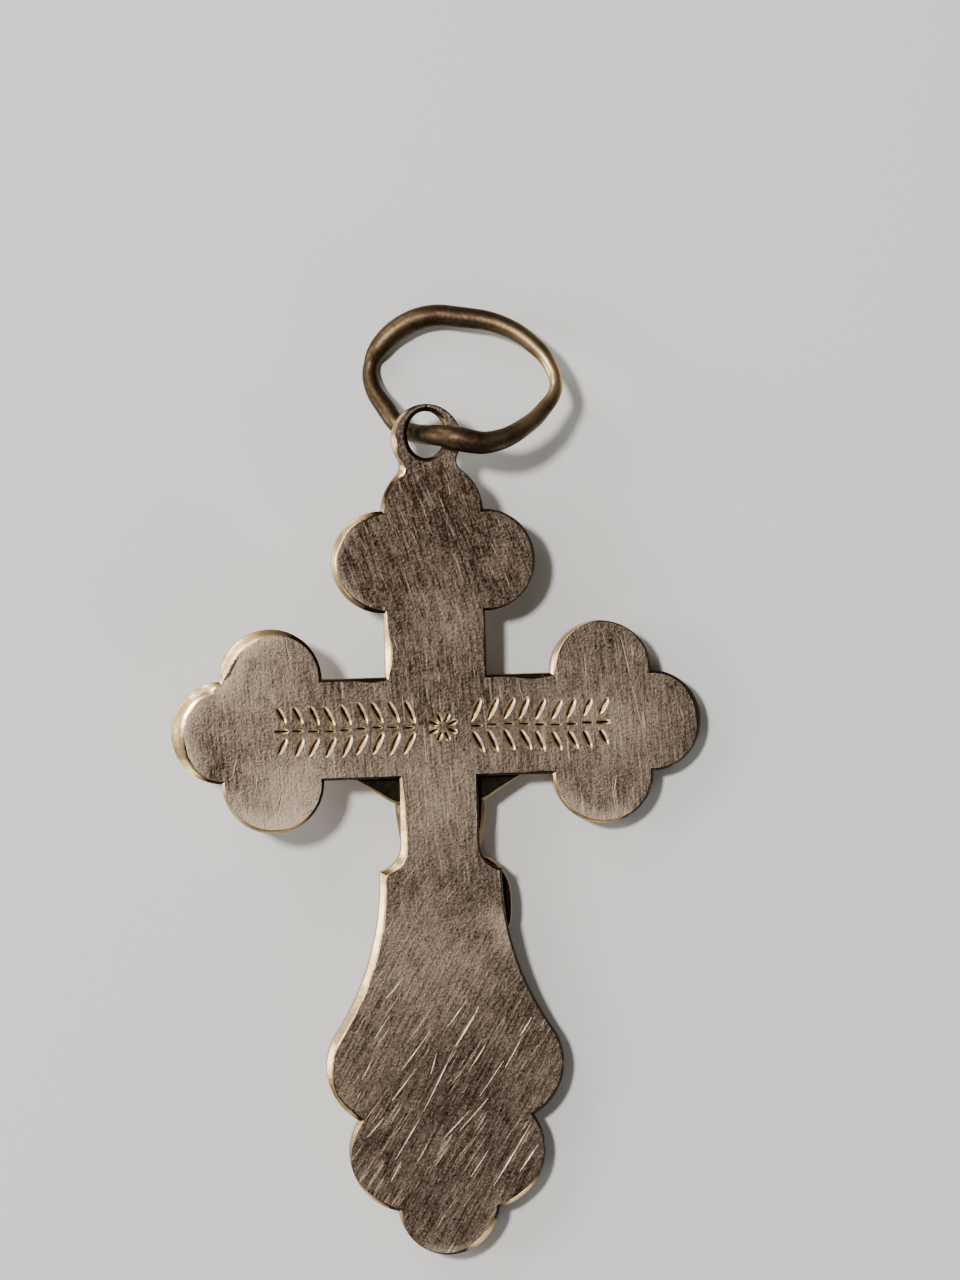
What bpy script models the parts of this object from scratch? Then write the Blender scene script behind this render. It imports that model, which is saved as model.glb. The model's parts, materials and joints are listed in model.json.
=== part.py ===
"""A budded crucifix pendant of cast gold alloy and its oval bail ring, lying face down.

Metres, +Z up. The pendant rests on its front, so its flat back looks up, with +Y towards
the ring and +X to the right of someone who looks down on the back. The cross is drawn in a
frame of its own first: the middle of the crossing at the origin, the back face at z = 0 and
the front at negative z. Then it is laid down on what it would rest on by itself.
"""
import math

import bmesh
import bpy
from mathutils import Matrix, Vector

MM = 0.001

# Arms of the cross, with three round buds at the end of each
ARM_WIDTH = 4.04 * MM
ARM_REACH = 10.64 * MM
BUD_RADIUS = 2.04 * MM
BUD_SPREAD = 2.04 * MM
BUD_SETBACK = 1.96 * MM

# Eyelet on the top bud, its hole worn upwards into an oval
EYELET_RADIUS = 1.40 * MM
EYELET_RISE = 0.88 * MM
EYELET_LEAN = 0.18 * MM
EYELET_SINK = 0.06 * MM
EYELET_THICKNESS = 0.62 * MM
NECK_FILLET = 0.50 * MM
HOLE_WIDTH = 1.56 * MM
HOLE_HEIGHT = 1.96 * MM
HOLE_WEAR = 0.18 * MM
HOLE_FLARE = 0.10 * MM

# Lower stem and its shoulder
STEM_WIDTH = 3.14 * MM
SHOULDER_SWEEP = 1.05 * MM
SHOULDER_WIDTH = 4.90 * MM
SHOULDER_DROP = 5.76 * MM

# Foot: a flared plate with two lobes on each side and a round tip
FLARE_START = 0.24 * MM
UPPER_LOBE_RADIUS = 2.41 * MM
UPPER_LOBE_SPREAD = 2.37 * MM
UPPER_LOBE_DROP = 13.60 * MM
LOWER_LOBE_RADIUS = 2.38 * MM
LOWER_LOBE_SPREAD = 1.56 * MM
LOWER_LOBE_DROP = 17.08 * MM
FOOT_LENGTH = 21.26 * MM

# Plate, its softened edges and the raised rim round the sunk field of its front
PLATE_THICKNESS = 0.98 * MM
BACK_EDGE = 0.20 * MM
FRONT_EDGE = 0.18 * MM
RIM_WIDTH = 0.48 * MM
RIM_HEIGHT = 0.20 * MM
RIM_SLOPE = 0.10 * MM

# Raised figure, its halo and the slanting foot rest
FIGURE_HEIGHT = 16.4 * MM
FIGURE_CROWN = 1.10 * MM
CHEST_WIDTH = 3.50 * MM
RELIEF_HEIGHT = 1.10 * MM
RELIEF_BITE = 0.36 * MM
ARM_SPAN = 15.6 * MM
LIMB_WIDTH = 0.86 * MM
KNEE_LIFT = 0.22 * MM
HALO_RADIUS = 1.90 * MM
HALO_HEIGHT = 0.16 * MM
HALO_EDGE = 0.07 * MM
REST_LENGTH = 3.40 * MM
REST_WIDTH = 0.80 * MM
REST_HEIGHT = 0.34 * MM
REST_EDGE = 0.10 * MM
REST_SLANT = math.radians(17)

# Bail ring of round wire, bent into an oval and threaded through the eyelet
WIRE_RADIUS = 0.33 * MM
RING_LENGTH = 7.46 * MM
RING_WIDTH = 5.19 * MM
RING_GAP = 0.17 * MM

# How finely round shapes are divided
BUD_STEP = math.radians(15)
WIDE_ARC = 1.15
FILLET_STEPS = 3
EDGE_STEPS = 2
LIMB_SIDES = 6
BODY_SIDES = 10
HEAD_SIDES = 10
LOCK_SIDES = 6
NOSE_SIDES = 4
RING_BEVEL_STEPS = 4
RING_CURVE_STEPS = 4
SHARP_ANGLE = math.radians(35)

# A cutter reaches this many times as far as the metal that it takes away
CUTTER_REACH = 2.0

# Where the pendant leans to, as shares of an arm's reach and of the foot's length
LEAN_ACROSS = 0.3
LEAN_DOWN = 0.3
STEEPEST_LEAN = math.radians(60)

# Worn metals: linear colour and roughness
ROSE_GOLD = (0.60, 0.42, 0.30)
ROSE_GOLD_ROUGHNESS = 0.38
WIRE_GOLD = (0.62, 0.41, 0.26)
WIRE_GOLD_ROUGHNESS = 0.32

FIELD_DEPTH = PLATE_THICKNESS - RIM_HEIGHT
EYELET_DEPTH = EYELET_SINK + EYELET_THICKNESS
EYELET_Y = ARM_REACH + EYELET_RISE
HOLE_CENTRE = Vector((-EYELET_LEAN, EYELET_Y + HOLE_WEAR))


# Plane geometry: an outline is a run of arcs and straight lines, read clockwise


class Arc:
    """A round stretch; bulge is 1 where it swells outwards and -1 where it is hollow."""

    def __init__(self, x, y, radius, bulge=1):
        self.centre = Vector((x, y))
        self.radius = radius
        self.bulge = bulge

    def inset_radius(self, inset):
        return self.radius - self.bulge * inset

    def angle_of(self, point):
        arm = point - self.centre
        return math.atan2(arm.y, arm.x)

    def turn(self, start, end):
        """The signed angle from start to end in the direction that the outline runs."""
        turn = (self.angle_of(end) - self.angle_of(start)) % math.tau
        if self.bulge > 0:
            return turn - math.tau if turn > 0.0 else -math.tau
        return turn


class Line:
    """A straight stretch through a point; the body lies to the right of its direction."""

    def __init__(self, x, y, direction_x, direction_y):
        self.point = Vector((x, y))
        self.direction = Vector((direction_x, direction_y)).normalized()
        self.inward = Vector((self.direction.y, -self.direction.x))

    def inset_point(self, inset):
        return self.point + self.inward * inset


def circles_cross(first_centre, first_radius, second_centre, second_radius):
    """The two points where two circles cross."""
    span = second_centre - first_centre
    distance = span.length
    along = (distance ** 2 + first_radius ** 2 - second_radius ** 2) / (2.0 * distance)
    across = math.sqrt(max(first_radius ** 2 - along ** 2, 0.0))
    unit = span / distance
    side = Vector((-unit.y, unit.x))
    middle = first_centre + unit * along
    return middle + side * across, middle - side * across


def two_arcs(first, second, inset):
    """Where two arcs cross, on the side away from the middle of the cross."""
    ends = circles_cross(first.centre, first.inset_radius(inset),
                         second.centre, second.inset_radius(inset))
    return max(ends, key=lambda p: p.length)


def line_and_arc(line, arc, inset):
    """Where a line crosses an arc, on the side nearer the middle of the cross."""
    start = line.inset_point(inset)
    radius = arc.inset_radius(inset)
    along = (arc.centre - start).dot(line.direction)
    foot = start + line.direction * along
    across = math.sqrt(max(radius ** 2 - (arc.centre - foot).length_squared, 0.0))
    ends = (foot + line.direction * across, foot - line.direction * across)
    return min(ends, key=lambda p: p.length)


def two_lines(first, second, inset):
    start = first.inset_point(inset)
    other = second.inset_point(inset)
    turn = first.direction.cross(second.direction)
    along = (other - start).cross(second.direction) / turn
    return start + first.direction * along


def meeting(first, second, smooth, inset):
    """The point where one stretch hands over to the next."""
    if smooth and isinstance(first, Line):
        start = first.inset_point(inset)
        return start + first.direction * (second.centre - start).dot(first.direction)
    if smooth:
        unit = (second.centre - first.centre).normalized()
        return first.centre + unit * first.inset_radius(inset)
    if isinstance(first, Arc) and isinstance(second, Arc):
        return two_arcs(first, second, inset)
    if isinstance(first, Line) and isinstance(second, Line):
        return two_lines(first, second, inset)
    line, arc = (first, second) if isinstance(first, Line) else (second, first)
    return line_and_arc(line, arc, inset)


def half_outline(eyelet_x):
    """The right half from top to tip: each stretch, and whether it runs smoothly into the next.

    The eyelet stands at eyelet_x, or is left off where that is None.
    """
    half_arm = ARM_WIDTH / 2.0
    half_stem = STEM_WIDTH / 2.0
    half_shoulder = SHOULDER_WIDTH / 2.0
    end_bud = ARM_REACH - BUD_RADIUS
    side_bud = end_bud - BUD_SETBACK

    top_bud = Arc(0.0, end_bud, BUD_RADIUS)
    stretches = []
    if eyelet_x is not None:
        eyelet = Arc(eyelet_x, EYELET_Y, EYELET_RADIUS)
        centres = circles_cross(top_bud.centre, BUD_RADIUS + NECK_FILLET,
                                eyelet.centre, EYELET_RADIUS + NECK_FILLET)
        fillet = max(centres, key=lambda p: p.x)
        stretches += [(eyelet, True), (Arc(fillet.x, fillet.y, NECK_FILLET, -1), True)]

    stem = Line(half_stem, 0.0, 0.0, -1.0)
    corner_reach = half_stem + SHOULDER_SWEEP - half_shoulder
    sweep_y = -SHOULDER_DROP + math.sqrt(SHOULDER_SWEEP ** 2 - corner_reach ** 2)
    sweep = Arc(half_stem + SHOULDER_SWEEP, sweep_y, SHOULDER_SWEEP, -1)

    flare_y = -SHOULDER_DROP - FLARE_START
    reach = half_shoulder - UPPER_LOBE_SPREAD
    drop = flare_y + UPPER_LOBE_DROP
    flare_radius = reach ** 2 + drop ** 2 - UPPER_LOBE_RADIUS ** 2
    flare_radius /= 2.0 * (UPPER_LOBE_RADIUS - reach)
    flare = Arc(half_shoulder + flare_radius, flare_y, flare_radius, -1)

    return stretches + [
        (top_bud, False),
        (Arc(BUD_SPREAD, side_bud, BUD_RADIUS), False),
        (Line(half_arm, 0.0, 0.0, -1.0), False),
        (Line(0.0, half_arm, 1.0, 0.0), False),
        (Arc(side_bud, BUD_SPREAD, BUD_RADIUS), False),
        (Arc(end_bud, 0.0, BUD_RADIUS), False),
        (Arc(side_bud, -BUD_SPREAD, BUD_RADIUS), False),
        (Line(0.0, -half_arm, -1.0, 0.0), False),
        (stem, True),
        (sweep, False),
        (flare, True),
        (Arc(UPPER_LOBE_SPREAD, -UPPER_LOBE_DROP, UPPER_LOBE_RADIUS), False),
        (Arc(LOWER_LOBE_SPREAD, -LOWER_LOBE_DROP, LOWER_LOBE_RADIUS), False),
        (Arc(0.0, BUD_RADIUS - FOOT_LENGTH, BUD_RADIUS), False),
    ]


def junctions(stretches, inset):
    """The points where the stretches start and end, from the top to the tip."""
    first = stretches[0][0]
    last = stretches[-1][0]
    points = [first.centre + Vector((0.0, first.inset_radius(inset)))]
    for (here, smooth), (after, _) in zip(stretches, stretches[1:]):
        points.append(meeting(here, after, smooth, inset))
    points.append(last.centre - Vector((0.0, last.inset_radius(inset))))
    return points


def arc_steps(arc, start, end):
    """How many facets an arc gets: one for each step of a bud, and more where it is wide."""
    turn = abs(arc.turn(start, end))
    wide = turn * arc.radius / (BUD_RADIUS * BUD_STEP * WIDE_ARC)
    return max(FILLET_STEPS, round(min(turn / BUD_STEP + FILLET_STEPS, wide)))


def half_points(eyelet_x, inset):
    """Points down the right half, from the top to the tip."""
    stretches = half_outline(eyelet_x)
    whole = junctions(stretches, 0.0)
    drawn = junctions(stretches, inset)
    points = []
    for index, (stretch, _) in enumerate(stretches):
        start, end = drawn[index], drawn[index + 1]
        points.append(start)
        if isinstance(stretch, Line):
            continue
        steps = arc_steps(stretch, whole[index], whole[index + 1])
        turn = stretch.turn(start, end)
        radius = stretch.inset_radius(inset)
        for step in range(1, steps):
            angle = stretch.angle_of(start) + turn * step / steps
            points.append(stretch.centre + Vector((math.cos(angle), math.sin(angle))) * radius)
    return points + [drawn[-1]]


def outline(inset=0.0, with_eyelet=True):
    """The cross's outline, drawn in by inset, as points that run clockwise from the top."""
    right = half_points(-EYELET_LEAN if with_eyelet else None, inset)
    left = half_points(EYELET_LEAN if with_eyelet else None, inset)
    return right + [Vector((-point.x, point.y)) for point in reversed(left[1:-1])]


# Solids


def new_object(name, bm):
    """A mesh object with its faces pointing out."""
    bmesh.ops.recalc_face_normals(bm, faces=bm.faces)
    mesh = bpy.data.meshes.new(name)
    bm.to_mesh(mesh)
    bm.free()
    item = bpy.data.objects.new(name, mesh)
    bpy.context.scene.collection.objects.link(item)
    return item


def skin(name, rings):
    """A closed solid through rings of equally many points, with flat ends."""
    bm = bmesh.new()
    rows = [[bm.verts.new(point) for point in ring] for ring in rings]
    count = len(rows[0])
    for low, high in zip(rows, rows[1:]):
        for index in range(count):
            after = (index + 1) % count
            bm.faces.new((low[index], low[after], high[after], high[index]))
    bm.faces.new(rows[0])
    bm.faces.new(rows[-1])
    return new_object(name, bm)


def combine(target, tool, operation, solver="EXACT"):
    """Cut or join target with tool by a Boolean, and use the tool up."""
    change = target.modifiers.new(operation.lower(), "BOOLEAN")
    change.operation = operation
    change.solver = solver
    change.object = tool
    depsgraph = bpy.context.evaluated_depsgraph_get()
    result = bpy.data.meshes.new_from_object(target.evaluated_get(depsgraph))
    target.modifiers.clear()
    target.data = result
    bpy.data.objects.remove(tool)
    return target


def rounded_edge(width, height):
    """Pairs of inset and depth down a quarter-round edge, from the flat face to the wall."""
    for step in range(EDGE_STEPS + 1):
        angle = math.pi / 2.0 * step / EDGE_STEPS
        yield width * (1.0 - math.sin(angle)), height * (1.0 - math.cos(angle))


def plate():
    """The cross's plate with softened edges, its sunk field and the eyelet's worn hole."""
    back = list(rounded_edge(BACK_EDGE, BACK_EDGE))
    front = [(inset, PLATE_THICKNESS - depth) for inset, depth in rounded_edge(FRONT_EDGE, FRONT_EDGE)]
    sections = back + front[::-1]
    rings = [[(p.x, p.y, -depth) for p in outline(inset)] for inset, depth in sections]
    body = skin("cross", rings)

    # The field's wall slopes, so the cutter is wider where it leaves the front.
    floor = outline(RIM_WIDTH + RIM_SLOPE, with_eyelet=False)
    mouth = outline(RIM_WIDTH - RIM_SLOPE, with_eyelet=False)
    outside = FIELD_DEPTH + CUTTER_REACH * RIM_HEIGHT
    field = skin("field", [[(p.x, p.y, -FIELD_DEPTH) for p in floor],
                           [(p.x, p.y, -outside) for p in mouth]])
    combine(body, field, "DIFFERENCE")
    # The exact solver leaves an open seam where the neck's many facets meet these cuts.
    combine(body, eyelet_step(-EYELET_SINK, 1.0, EYELET_SINK), "DIFFERENCE", "MANIFOLD")
    front_step = PLATE_THICKNESS - EYELET_DEPTH
    combine(body, eyelet_step(-EYELET_DEPTH, -1.0, front_step), "DIFFERENCE", "MANIFOLD")
    return combine(body, hole_cutter(), "DIFFERENCE", "MANIFOLD")


def eyelet_step(level, out, step):
    """A block off one face of the eyelet, which is thinner than the plate and slopes into it."""
    inner = ARM_REACH - FRONT_EDGE
    half = CUTTER_REACH * EYELET_RADIUS
    top = EYELET_Y + half
    rings = []
    for share in (0.0, CUTTER_REACH):
        z = level + out * share * step
        start = inner - share * step
        rings.append([(-half, start, z), (half, start, z), (half, top, z), (-half, top, z)])
    return skin("eyelet_step", rings)


def hole_cutter():
    """An oval plug that flares towards both faces, as a wire wears a hole."""
    steps = round(math.tau / BUD_STEP)
    back = -EYELET_SINK
    front = -EYELET_DEPTH
    # Columns: level, and how many flares the hole is wider there than in its middle
    levels = ((back + HOLE_FLARE, 3), (back - HOLE_FLARE, 1), ((back + front) / 2.0, 0),
              (front + HOLE_FLARE, 1), (front - HOLE_FLARE, 3))
    rings = []
    for z, flares in levels:
        half_width = (HOLE_WIDTH + flares * HOLE_FLARE) / 2.0
        half_height = (HOLE_HEIGHT + flares * HOLE_FLARE) / 2.0
        ring = []
        for step in range(steps):
            angle = math.tau * (step + 0.5) / steps
            x = HOLE_CENTRE.x + half_width * math.cos(angle)
            y = HOLE_CENTRE.y + half_height * math.sin(angle)
            ring.append((x, y, z))
        rings.append(ring)
    return skin("hole", rings)


# The raised figure: lofts through round sections that stand on the sunk field


def on_field(x, y, height):
    """A point of the front, at a height above the sunk field."""
    return Vector((x, y, -FIELD_DEPTH - height))


def limb(name, sections, sides=LIMB_SIDES):
    """A loft along sections of x, y, width and relief: the height of its top above the field.

    Each section is an arch on straight legs, so cast forms that cross leave no pocket under them.
    """
    out = Vector((0.0, 0.0, -1.0))
    arch = [math.pi * step / sides for step in range(sides + 1)]
    profile = [(math.cos(angle), math.sin(angle)) for angle in arch] + [(-1.0, -1.0), (1.0, -1.0)]
    rings = []
    for index, (x, y, width, relief) in enumerate(sections):
        before = sections[max(index - 1, 0)]
        after = sections[min(index + 1, len(sections) - 1)]
        run = Vector((after[0] - before[0], after[1] - before[1], 0.0)).normalized()
        side = run.cross(out)
        half_depth = (relief + RELIEF_BITE) / 2.0
        centre = on_field(x, y, relief - half_depth)
        rings.append([centre + side * (width / 2.0 * across) + out * (half_depth * up)
                      for across, up in profile])
    return skin(name, rings)


def body_point(drop, sway=0.0):
    """A place on the figure: a share of its height below the crown, and of its chest's width."""
    return sway * CHEST_WIDTH, FIGURE_CROWN - drop * FIGURE_HEIGHT


def body_sections(table):
    """Sections from rows of drop, sway, width and relief, as shares of the figure's sizes."""
    rows = []
    for drop, sway, width, relief in table:
        x, y = body_point(drop, sway)
        rows.append((x, y, width * CHEST_WIDTH, relief * RELIEF_HEIGHT))
    return rows


# Columns: drop, sway, width, relief
TORSO = (
    (0.125, 0.03, 0.34, 0.50),
    (0.160, 0.03, 0.72, 0.68),
    (0.190, 0.03, 0.98, 0.82),
    (0.225, 0.03, 1.04, 0.90),
    (0.265, 0.03, 1.04, 0.92),
    (0.300, 0.03, 1.01, 0.88),
    (0.345, 0.02, 0.94, 0.80),
    (0.385, 0.01, 0.86, 0.72),
    (0.430, 0.00, 0.86, 0.76),
    (0.480, 0.00, 0.90, 0.74),
)
NECK = (
    (0.085, 0.09, 0.34, 0.62),
    (0.140, 0.06, 0.34, 0.66),
    (0.190, 0.04, 0.44, 0.64),
)
LOINCLOTH = (
    (0.408, 0.00, 0.82, 0.60),
    (0.420, 0.01, 0.98, 0.82),
    (0.460, 0.02, 1.06, 0.90),
    (0.510, 0.01, 1.08, 0.84),
    (0.560, -0.01, 1.06, 0.74),
    (0.590, -0.02, 1.00, 0.66),
    (0.602, -0.02, 0.86, 0.48),
)
KNOT = (
    (0.405, 0.34, 0.18, 0.44),
    (0.413, 0.44, 0.28, 0.62),
    (0.432, 0.56, 0.30, 0.60),
    (0.460, 0.66, 0.27, 0.46),
    (0.505, 0.69, 0.26, 0.36),
    (0.552, 0.67, 0.26, 0.26),
    (0.578, 0.64, 0.16, 0.14),
)
HEAD = (
    (-0.004, 0.155, 0.24, 0.50),
    (0.006, 0.150, 0.44, 0.78),
    (0.028, 0.138, 0.57, 0.94),
    (0.055, 0.120, 0.60, 1.00),
    (0.085, 0.100, 0.56, 0.98),
    (0.112, 0.082, 0.48, 0.95),
    (0.135, 0.067, 0.36, 0.88),
    (0.148, 0.060, 0.20, 0.74),
)
NOSE = (
    (0.052, 0.122, 0.050, 1.02),
    (0.075, 0.107, 0.080, 1.09),
    (0.088, 0.098, 0.130, 1.12),
    (0.095, 0.093, 0.090, 1.03),
)
HAIR = (
    (-0.016, 0.03, 0.20, 0.60),
    (-0.008, 0.10, 0.30, 0.82),
    (0.008, 0.19, 0.32, 0.92),
    (0.035, 0.265, 0.27, 0.90),
    (0.070, 0.285, 0.26, 0.86),
    (0.110, 0.275, 0.28, 0.82),
    (0.150, 0.275, 0.28, 0.80),
    (0.180, 0.31, 0.22, 0.76),
    (0.198, 0.33, 0.11, 0.68),
)
BEARD = (
    (0.098, 0.091, 0.38, 0.92),
    (0.120, 0.077, 0.38, 1.01),
    (0.145, 0.062, 0.29, 0.97),
    (0.163, 0.051, 0.17, 0.86),
    (0.172, 0.046, 0.08, 0.74),
)

# Columns: drop, sway
HALO_MIDDLE = (0.070, 0.110)

# Column: drop of the foot rest's middle
REST_DROP = 0.985

# Columns: drop, sway, width, relief, and the share of the left knee's extra height
LEG = (
    (0.540, 0.235, 0.42, 0.66, 0.0),
    (0.600, 0.225, 0.43, 0.68, 0.6),
    (0.660, 0.200, 0.37, 0.68, 1.0),
    (0.710, 0.180, 0.34, 0.68, 1.0),
    (0.745, 0.175, 0.32, 0.60, 0.6),
    (0.790, 0.175, 0.34, 0.55, 0.2),
    (0.840, 0.155, 0.27, 0.48, 0.0),
    (0.885, 0.135, 0.20, 0.44, 0.0),
    (0.915, 0.135, 0.22, 0.50, 0.0),
    (0.950, 0.160, 0.27, 0.50, 0.0),
    (0.985, 0.190, 0.29, 0.40, 0.0),
    (1.005, 0.200, 0.20, 0.22, 0.0),
)

# Columns: share of the half span, share of the figure's height below the crown, width, relief
ARM = (
    (0.130, 0.205, 2.00, 0.62),
    (0.200, 0.200, 2.10, 0.74),
    (0.280, 0.188, 1.66, 0.68),
    (0.370, 0.172, 1.30, 0.60),
    (0.470, 0.150, 1.08, 0.55),
    (0.560, 0.128, 0.94, 0.52),
    (0.660, 0.106, 0.92, 0.50),
    (0.770, 0.084, 0.74, 0.46),
    (0.860, 0.068, 0.56, 0.42),
    (0.905, 0.060, 0.82, 0.42),
    (0.955, 0.052, 0.92, 0.36),
    (0.990, 0.046, 0.78, 0.28),
    (1.005, 0.043, 0.44, 0.18),
)


def arm_sections(side):
    rows = []
    for reach, drop, width, relief in ARM:
        x = side * reach * ARM_SPAN / 2.0
        y = FIGURE_CROWN - drop * FIGURE_HEIGHT
        rows.append((x, y, width * LIMB_WIDTH, relief * RELIEF_HEIGHT))
    return rows


def leg_table(side):
    """The leg's rows on one side of the body's midline; the knee towards -X stands higher."""
    lift = KNEE_LIFT / RELIEF_HEIGHT if side < 0 else 0.0
    return [(drop, side * sway, width, relief + lift * knee)
            for drop, sway, width, relief, knee in LEG]


def hair_table(side):
    """The hair's rows on one side of the head, which leans by the same shares as the face."""
    lean = (HEAD[0][1] - HEAD[-1][1]) / (HEAD[-1][0] - HEAD[0][0])
    rows = []
    for drop, sway, width, relief in HAIR:
        middle = HEAD[0][1] - lean * (drop - HEAD[0][0])
        rows.append((drop, middle + side * sway, width, relief))
    return rows


def chamfered(height, edge):
    """Levels and insets of a low plate: its root in the metal, its wall and its top."""
    return ((-RELIEF_BITE / 2.0, 0.0), (height - edge, 0.0), (height, edge))


def halo():
    """A low round plate behind the head."""
    steps = round(math.tau / BUD_STEP)
    x, y = body_point(*HALO_MIDDLE)
    rings = []
    for height, inset in chamfered(HALO_HEIGHT, HALO_EDGE):
        radius = HALO_RADIUS - inset
        ring = []
        for step in range(steps):
            angle = math.tau * step / steps
            ring.append(on_field(x + radius * math.cos(angle), y + radius * math.sin(angle), height))
        rings.append(ring)
    return skin("halo", rings)


def foot_rest():
    """The slanting board under the feet, its higher end towards +X."""
    _, y = body_point(REST_DROP)
    along = Vector((math.cos(REST_SLANT), math.sin(REST_SLANT)))
    across = Vector((-along.y, along.x))
    middle = Vector((0.0, y))
    rings = []
    corners = ((-1, -1), (1, -1), (1, 1), (-1, 1))
    for height, inset in chamfered(REST_HEIGHT, REST_EDGE):
        half_length = REST_LENGTH / 2.0 - inset
        half_width = REST_WIDTH / 2.0 - inset
        points = [middle + along * half_length * i + across * half_width * j for i, j in corners]
        rings.append([on_field(point.x, point.y, height) for point in points])
    return skin("foot_rest", rings)


def figure_pieces():
    """Every raised form of the front, as closed solids that share metal with the plate."""
    yield halo()
    yield foot_rest()
    for side in (-1, 1):
        yield limb("arm", arm_sections(side))
        yield limb("leg", body_sections(leg_table(side)))
    yield limb("torso", body_sections(TORSO), BODY_SIDES)
    yield limb("neck", body_sections(NECK))
    yield limb("loincloth", body_sections(LOINCLOTH), BODY_SIDES)
    yield limb("knot", body_sections(KNOT), LOCK_SIDES)
    yield limb("head", body_sections(HEAD), HEAD_SIDES)
    for side in (-1, 1):
        yield limb("hair", body_sections(hair_table(side)), LOCK_SIDES)
    yield limb("beard", body_sections(BEARD), LOCK_SIDES)
    yield limb("nose", body_sections(NOSE), NOSE_SIDES)


# Laying the pendant down


def resting_turn(item, lean):
    """The turn that brings the face of the convex hull below a point of the plate to level."""
    bm = bmesh.new()
    for vertex in item.data.vertices:
        bm.verts.new(vertex.co)
    bmesh.ops.convex_hull(bm, input=bm.verts)
    bmesh.ops.recalc_face_normals(bm, faces=bm.faces)
    underside = [face for face in bm.faces if face.normal.z < -math.cos(STEEPEST_LEAN)]

    def height_below(face):
        offset = face.verts[0].co.xy - lean
        return face.verts[0].co.z + offset.dot(face.normal.xy) / face.normal.z

    normal = max(underside, key=height_below).normal.copy()
    bm.free()
    return normal.rotation_difference(Vector((0.0, 0.0, -1.0))).to_matrix().to_4x4()


def lowest(points):
    return min(point.z for point in points)


# Columns: along and across the ring from the hole, as shares of its length and width, then how
# much of the height is that of the wire under the eyelet and over it; the rest lies on the floor.
RING_ROUTE = (
    (0.000, 0.000, 0.50, 0.50),
    (0.062, -0.010, 0.17, 0.83),
    (0.115, -0.020, 0.02, 0.98),
    (0.180, -0.032, 0.00, 1.04),
    (0.350, -0.062, 0.00, 1.04),
    (0.560, 0.064, 0.00, 0.92),
    (0.692, 0.283, 0.00, 0.74),
    (0.704, 0.375, 0.00, 0.66),
    (0.669, 0.515, 0.00, 0.56),
    (0.602, 0.664, 0.00, 0.46),
    (0.428, 0.840, 0.00, 0.30),
    (0.204, 0.918, 0.00, 0.16),
    (0.022, 0.933, 0.00, 0.08),
    (-0.140, 0.846, 0.00, 0.02),
    (-0.261, 0.696, 0.00, 0.00),
    (-0.297, 0.566, 0.00, 0.00),
    (-0.293, 0.428, 0.16, 0.00),
    (-0.215, 0.205, 0.76, 0.00),
    (-0.150, 0.088, 1.02, 0.00),
    (-0.115, 0.050, 0.98, 0.02),
    (-0.062, 0.020, 0.83, 0.17),
)


def ring_points(turn, lift):
    """The ring's centre line in the lying pendant's frame, threaded through the hole."""
    centre = turn @ Vector((HOLE_CENTRE.x, HOLE_CENTRE.y, -EYELET_DEPTH / 2.0))
    right_edge = HOLE_CENTRE.x + HOLE_WIDTH / 2.0
    left_edge = HOLE_CENTRE.x - HOLE_WIDTH / 2.0
    right_top = (turn @ Vector((right_edge, HOLE_CENTRE.y, -EYELET_SINK))).z + lift
    left_bottom = (turn @ Vector((left_edge, HOLE_CENTRE.y, -EYELET_DEPTH))).z + lift
    over = right_top + RING_GAP + WIRE_RADIUS
    under = left_bottom - RING_GAP - WIRE_RADIUS
    points = []
    for along, across, under_share, over_share in RING_ROUTE:
        floor_share = 1.0 - under_share - over_share
        z = floor_share * WIRE_RADIUS + under_share * under + over_share * over
        x = centre.x + along * RING_LENGTH
        y = centre.y + across * RING_WIDTH
        points.append(Vector((x, y, z)))
    return points


def bail_ring(points):
    """Round wire along a smooth closed curve through the points."""
    curve = bpy.data.curves.new("bail_ring", "CURVE")
    curve.dimensions = "3D"
    curve.resolution_u = RING_CURVE_STEPS
    curve.bevel_depth = WIRE_RADIUS
    curve.bevel_resolution = RING_BEVEL_STEPS
    spline = curve.splines.new("BEZIER")
    spline.bezier_points.add(len(points) - 1)
    spline.use_cyclic_u = True
    for knot, place in zip(spline.bezier_points, points):
        knot.co = place
        knot.handle_left_type = "AUTO"
        knot.handle_right_type = "AUTO"
    item = bpy.data.objects.new("bail_ring_curve", curve)
    bpy.context.scene.collection.objects.link(item)
    depsgraph = bpy.context.evaluated_depsgraph_get()
    mesh = bpy.data.meshes.new_from_object(item.evaluated_get(depsgraph))
    bpy.data.objects.remove(item)
    bm = bmesh.new()
    bm.from_mesh(mesh)
    return new_object("bail_ring", bm)


def gold_alloy(name, colour, roughness):
    material = bpy.data.materials.new(name)
    material.use_nodes = True
    shader = material.node_tree.nodes["Principled BSDF"]
    shader.inputs["Base Color"].default_value = (*colour, 1.0)
    shader.inputs["Metallic"].default_value = 1.0
    shader.inputs["Roughness"].default_value = roughness
    return material


def clear_scene():
    for item in list(bpy.data.objects):
        bpy.data.objects.remove(item)


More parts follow.
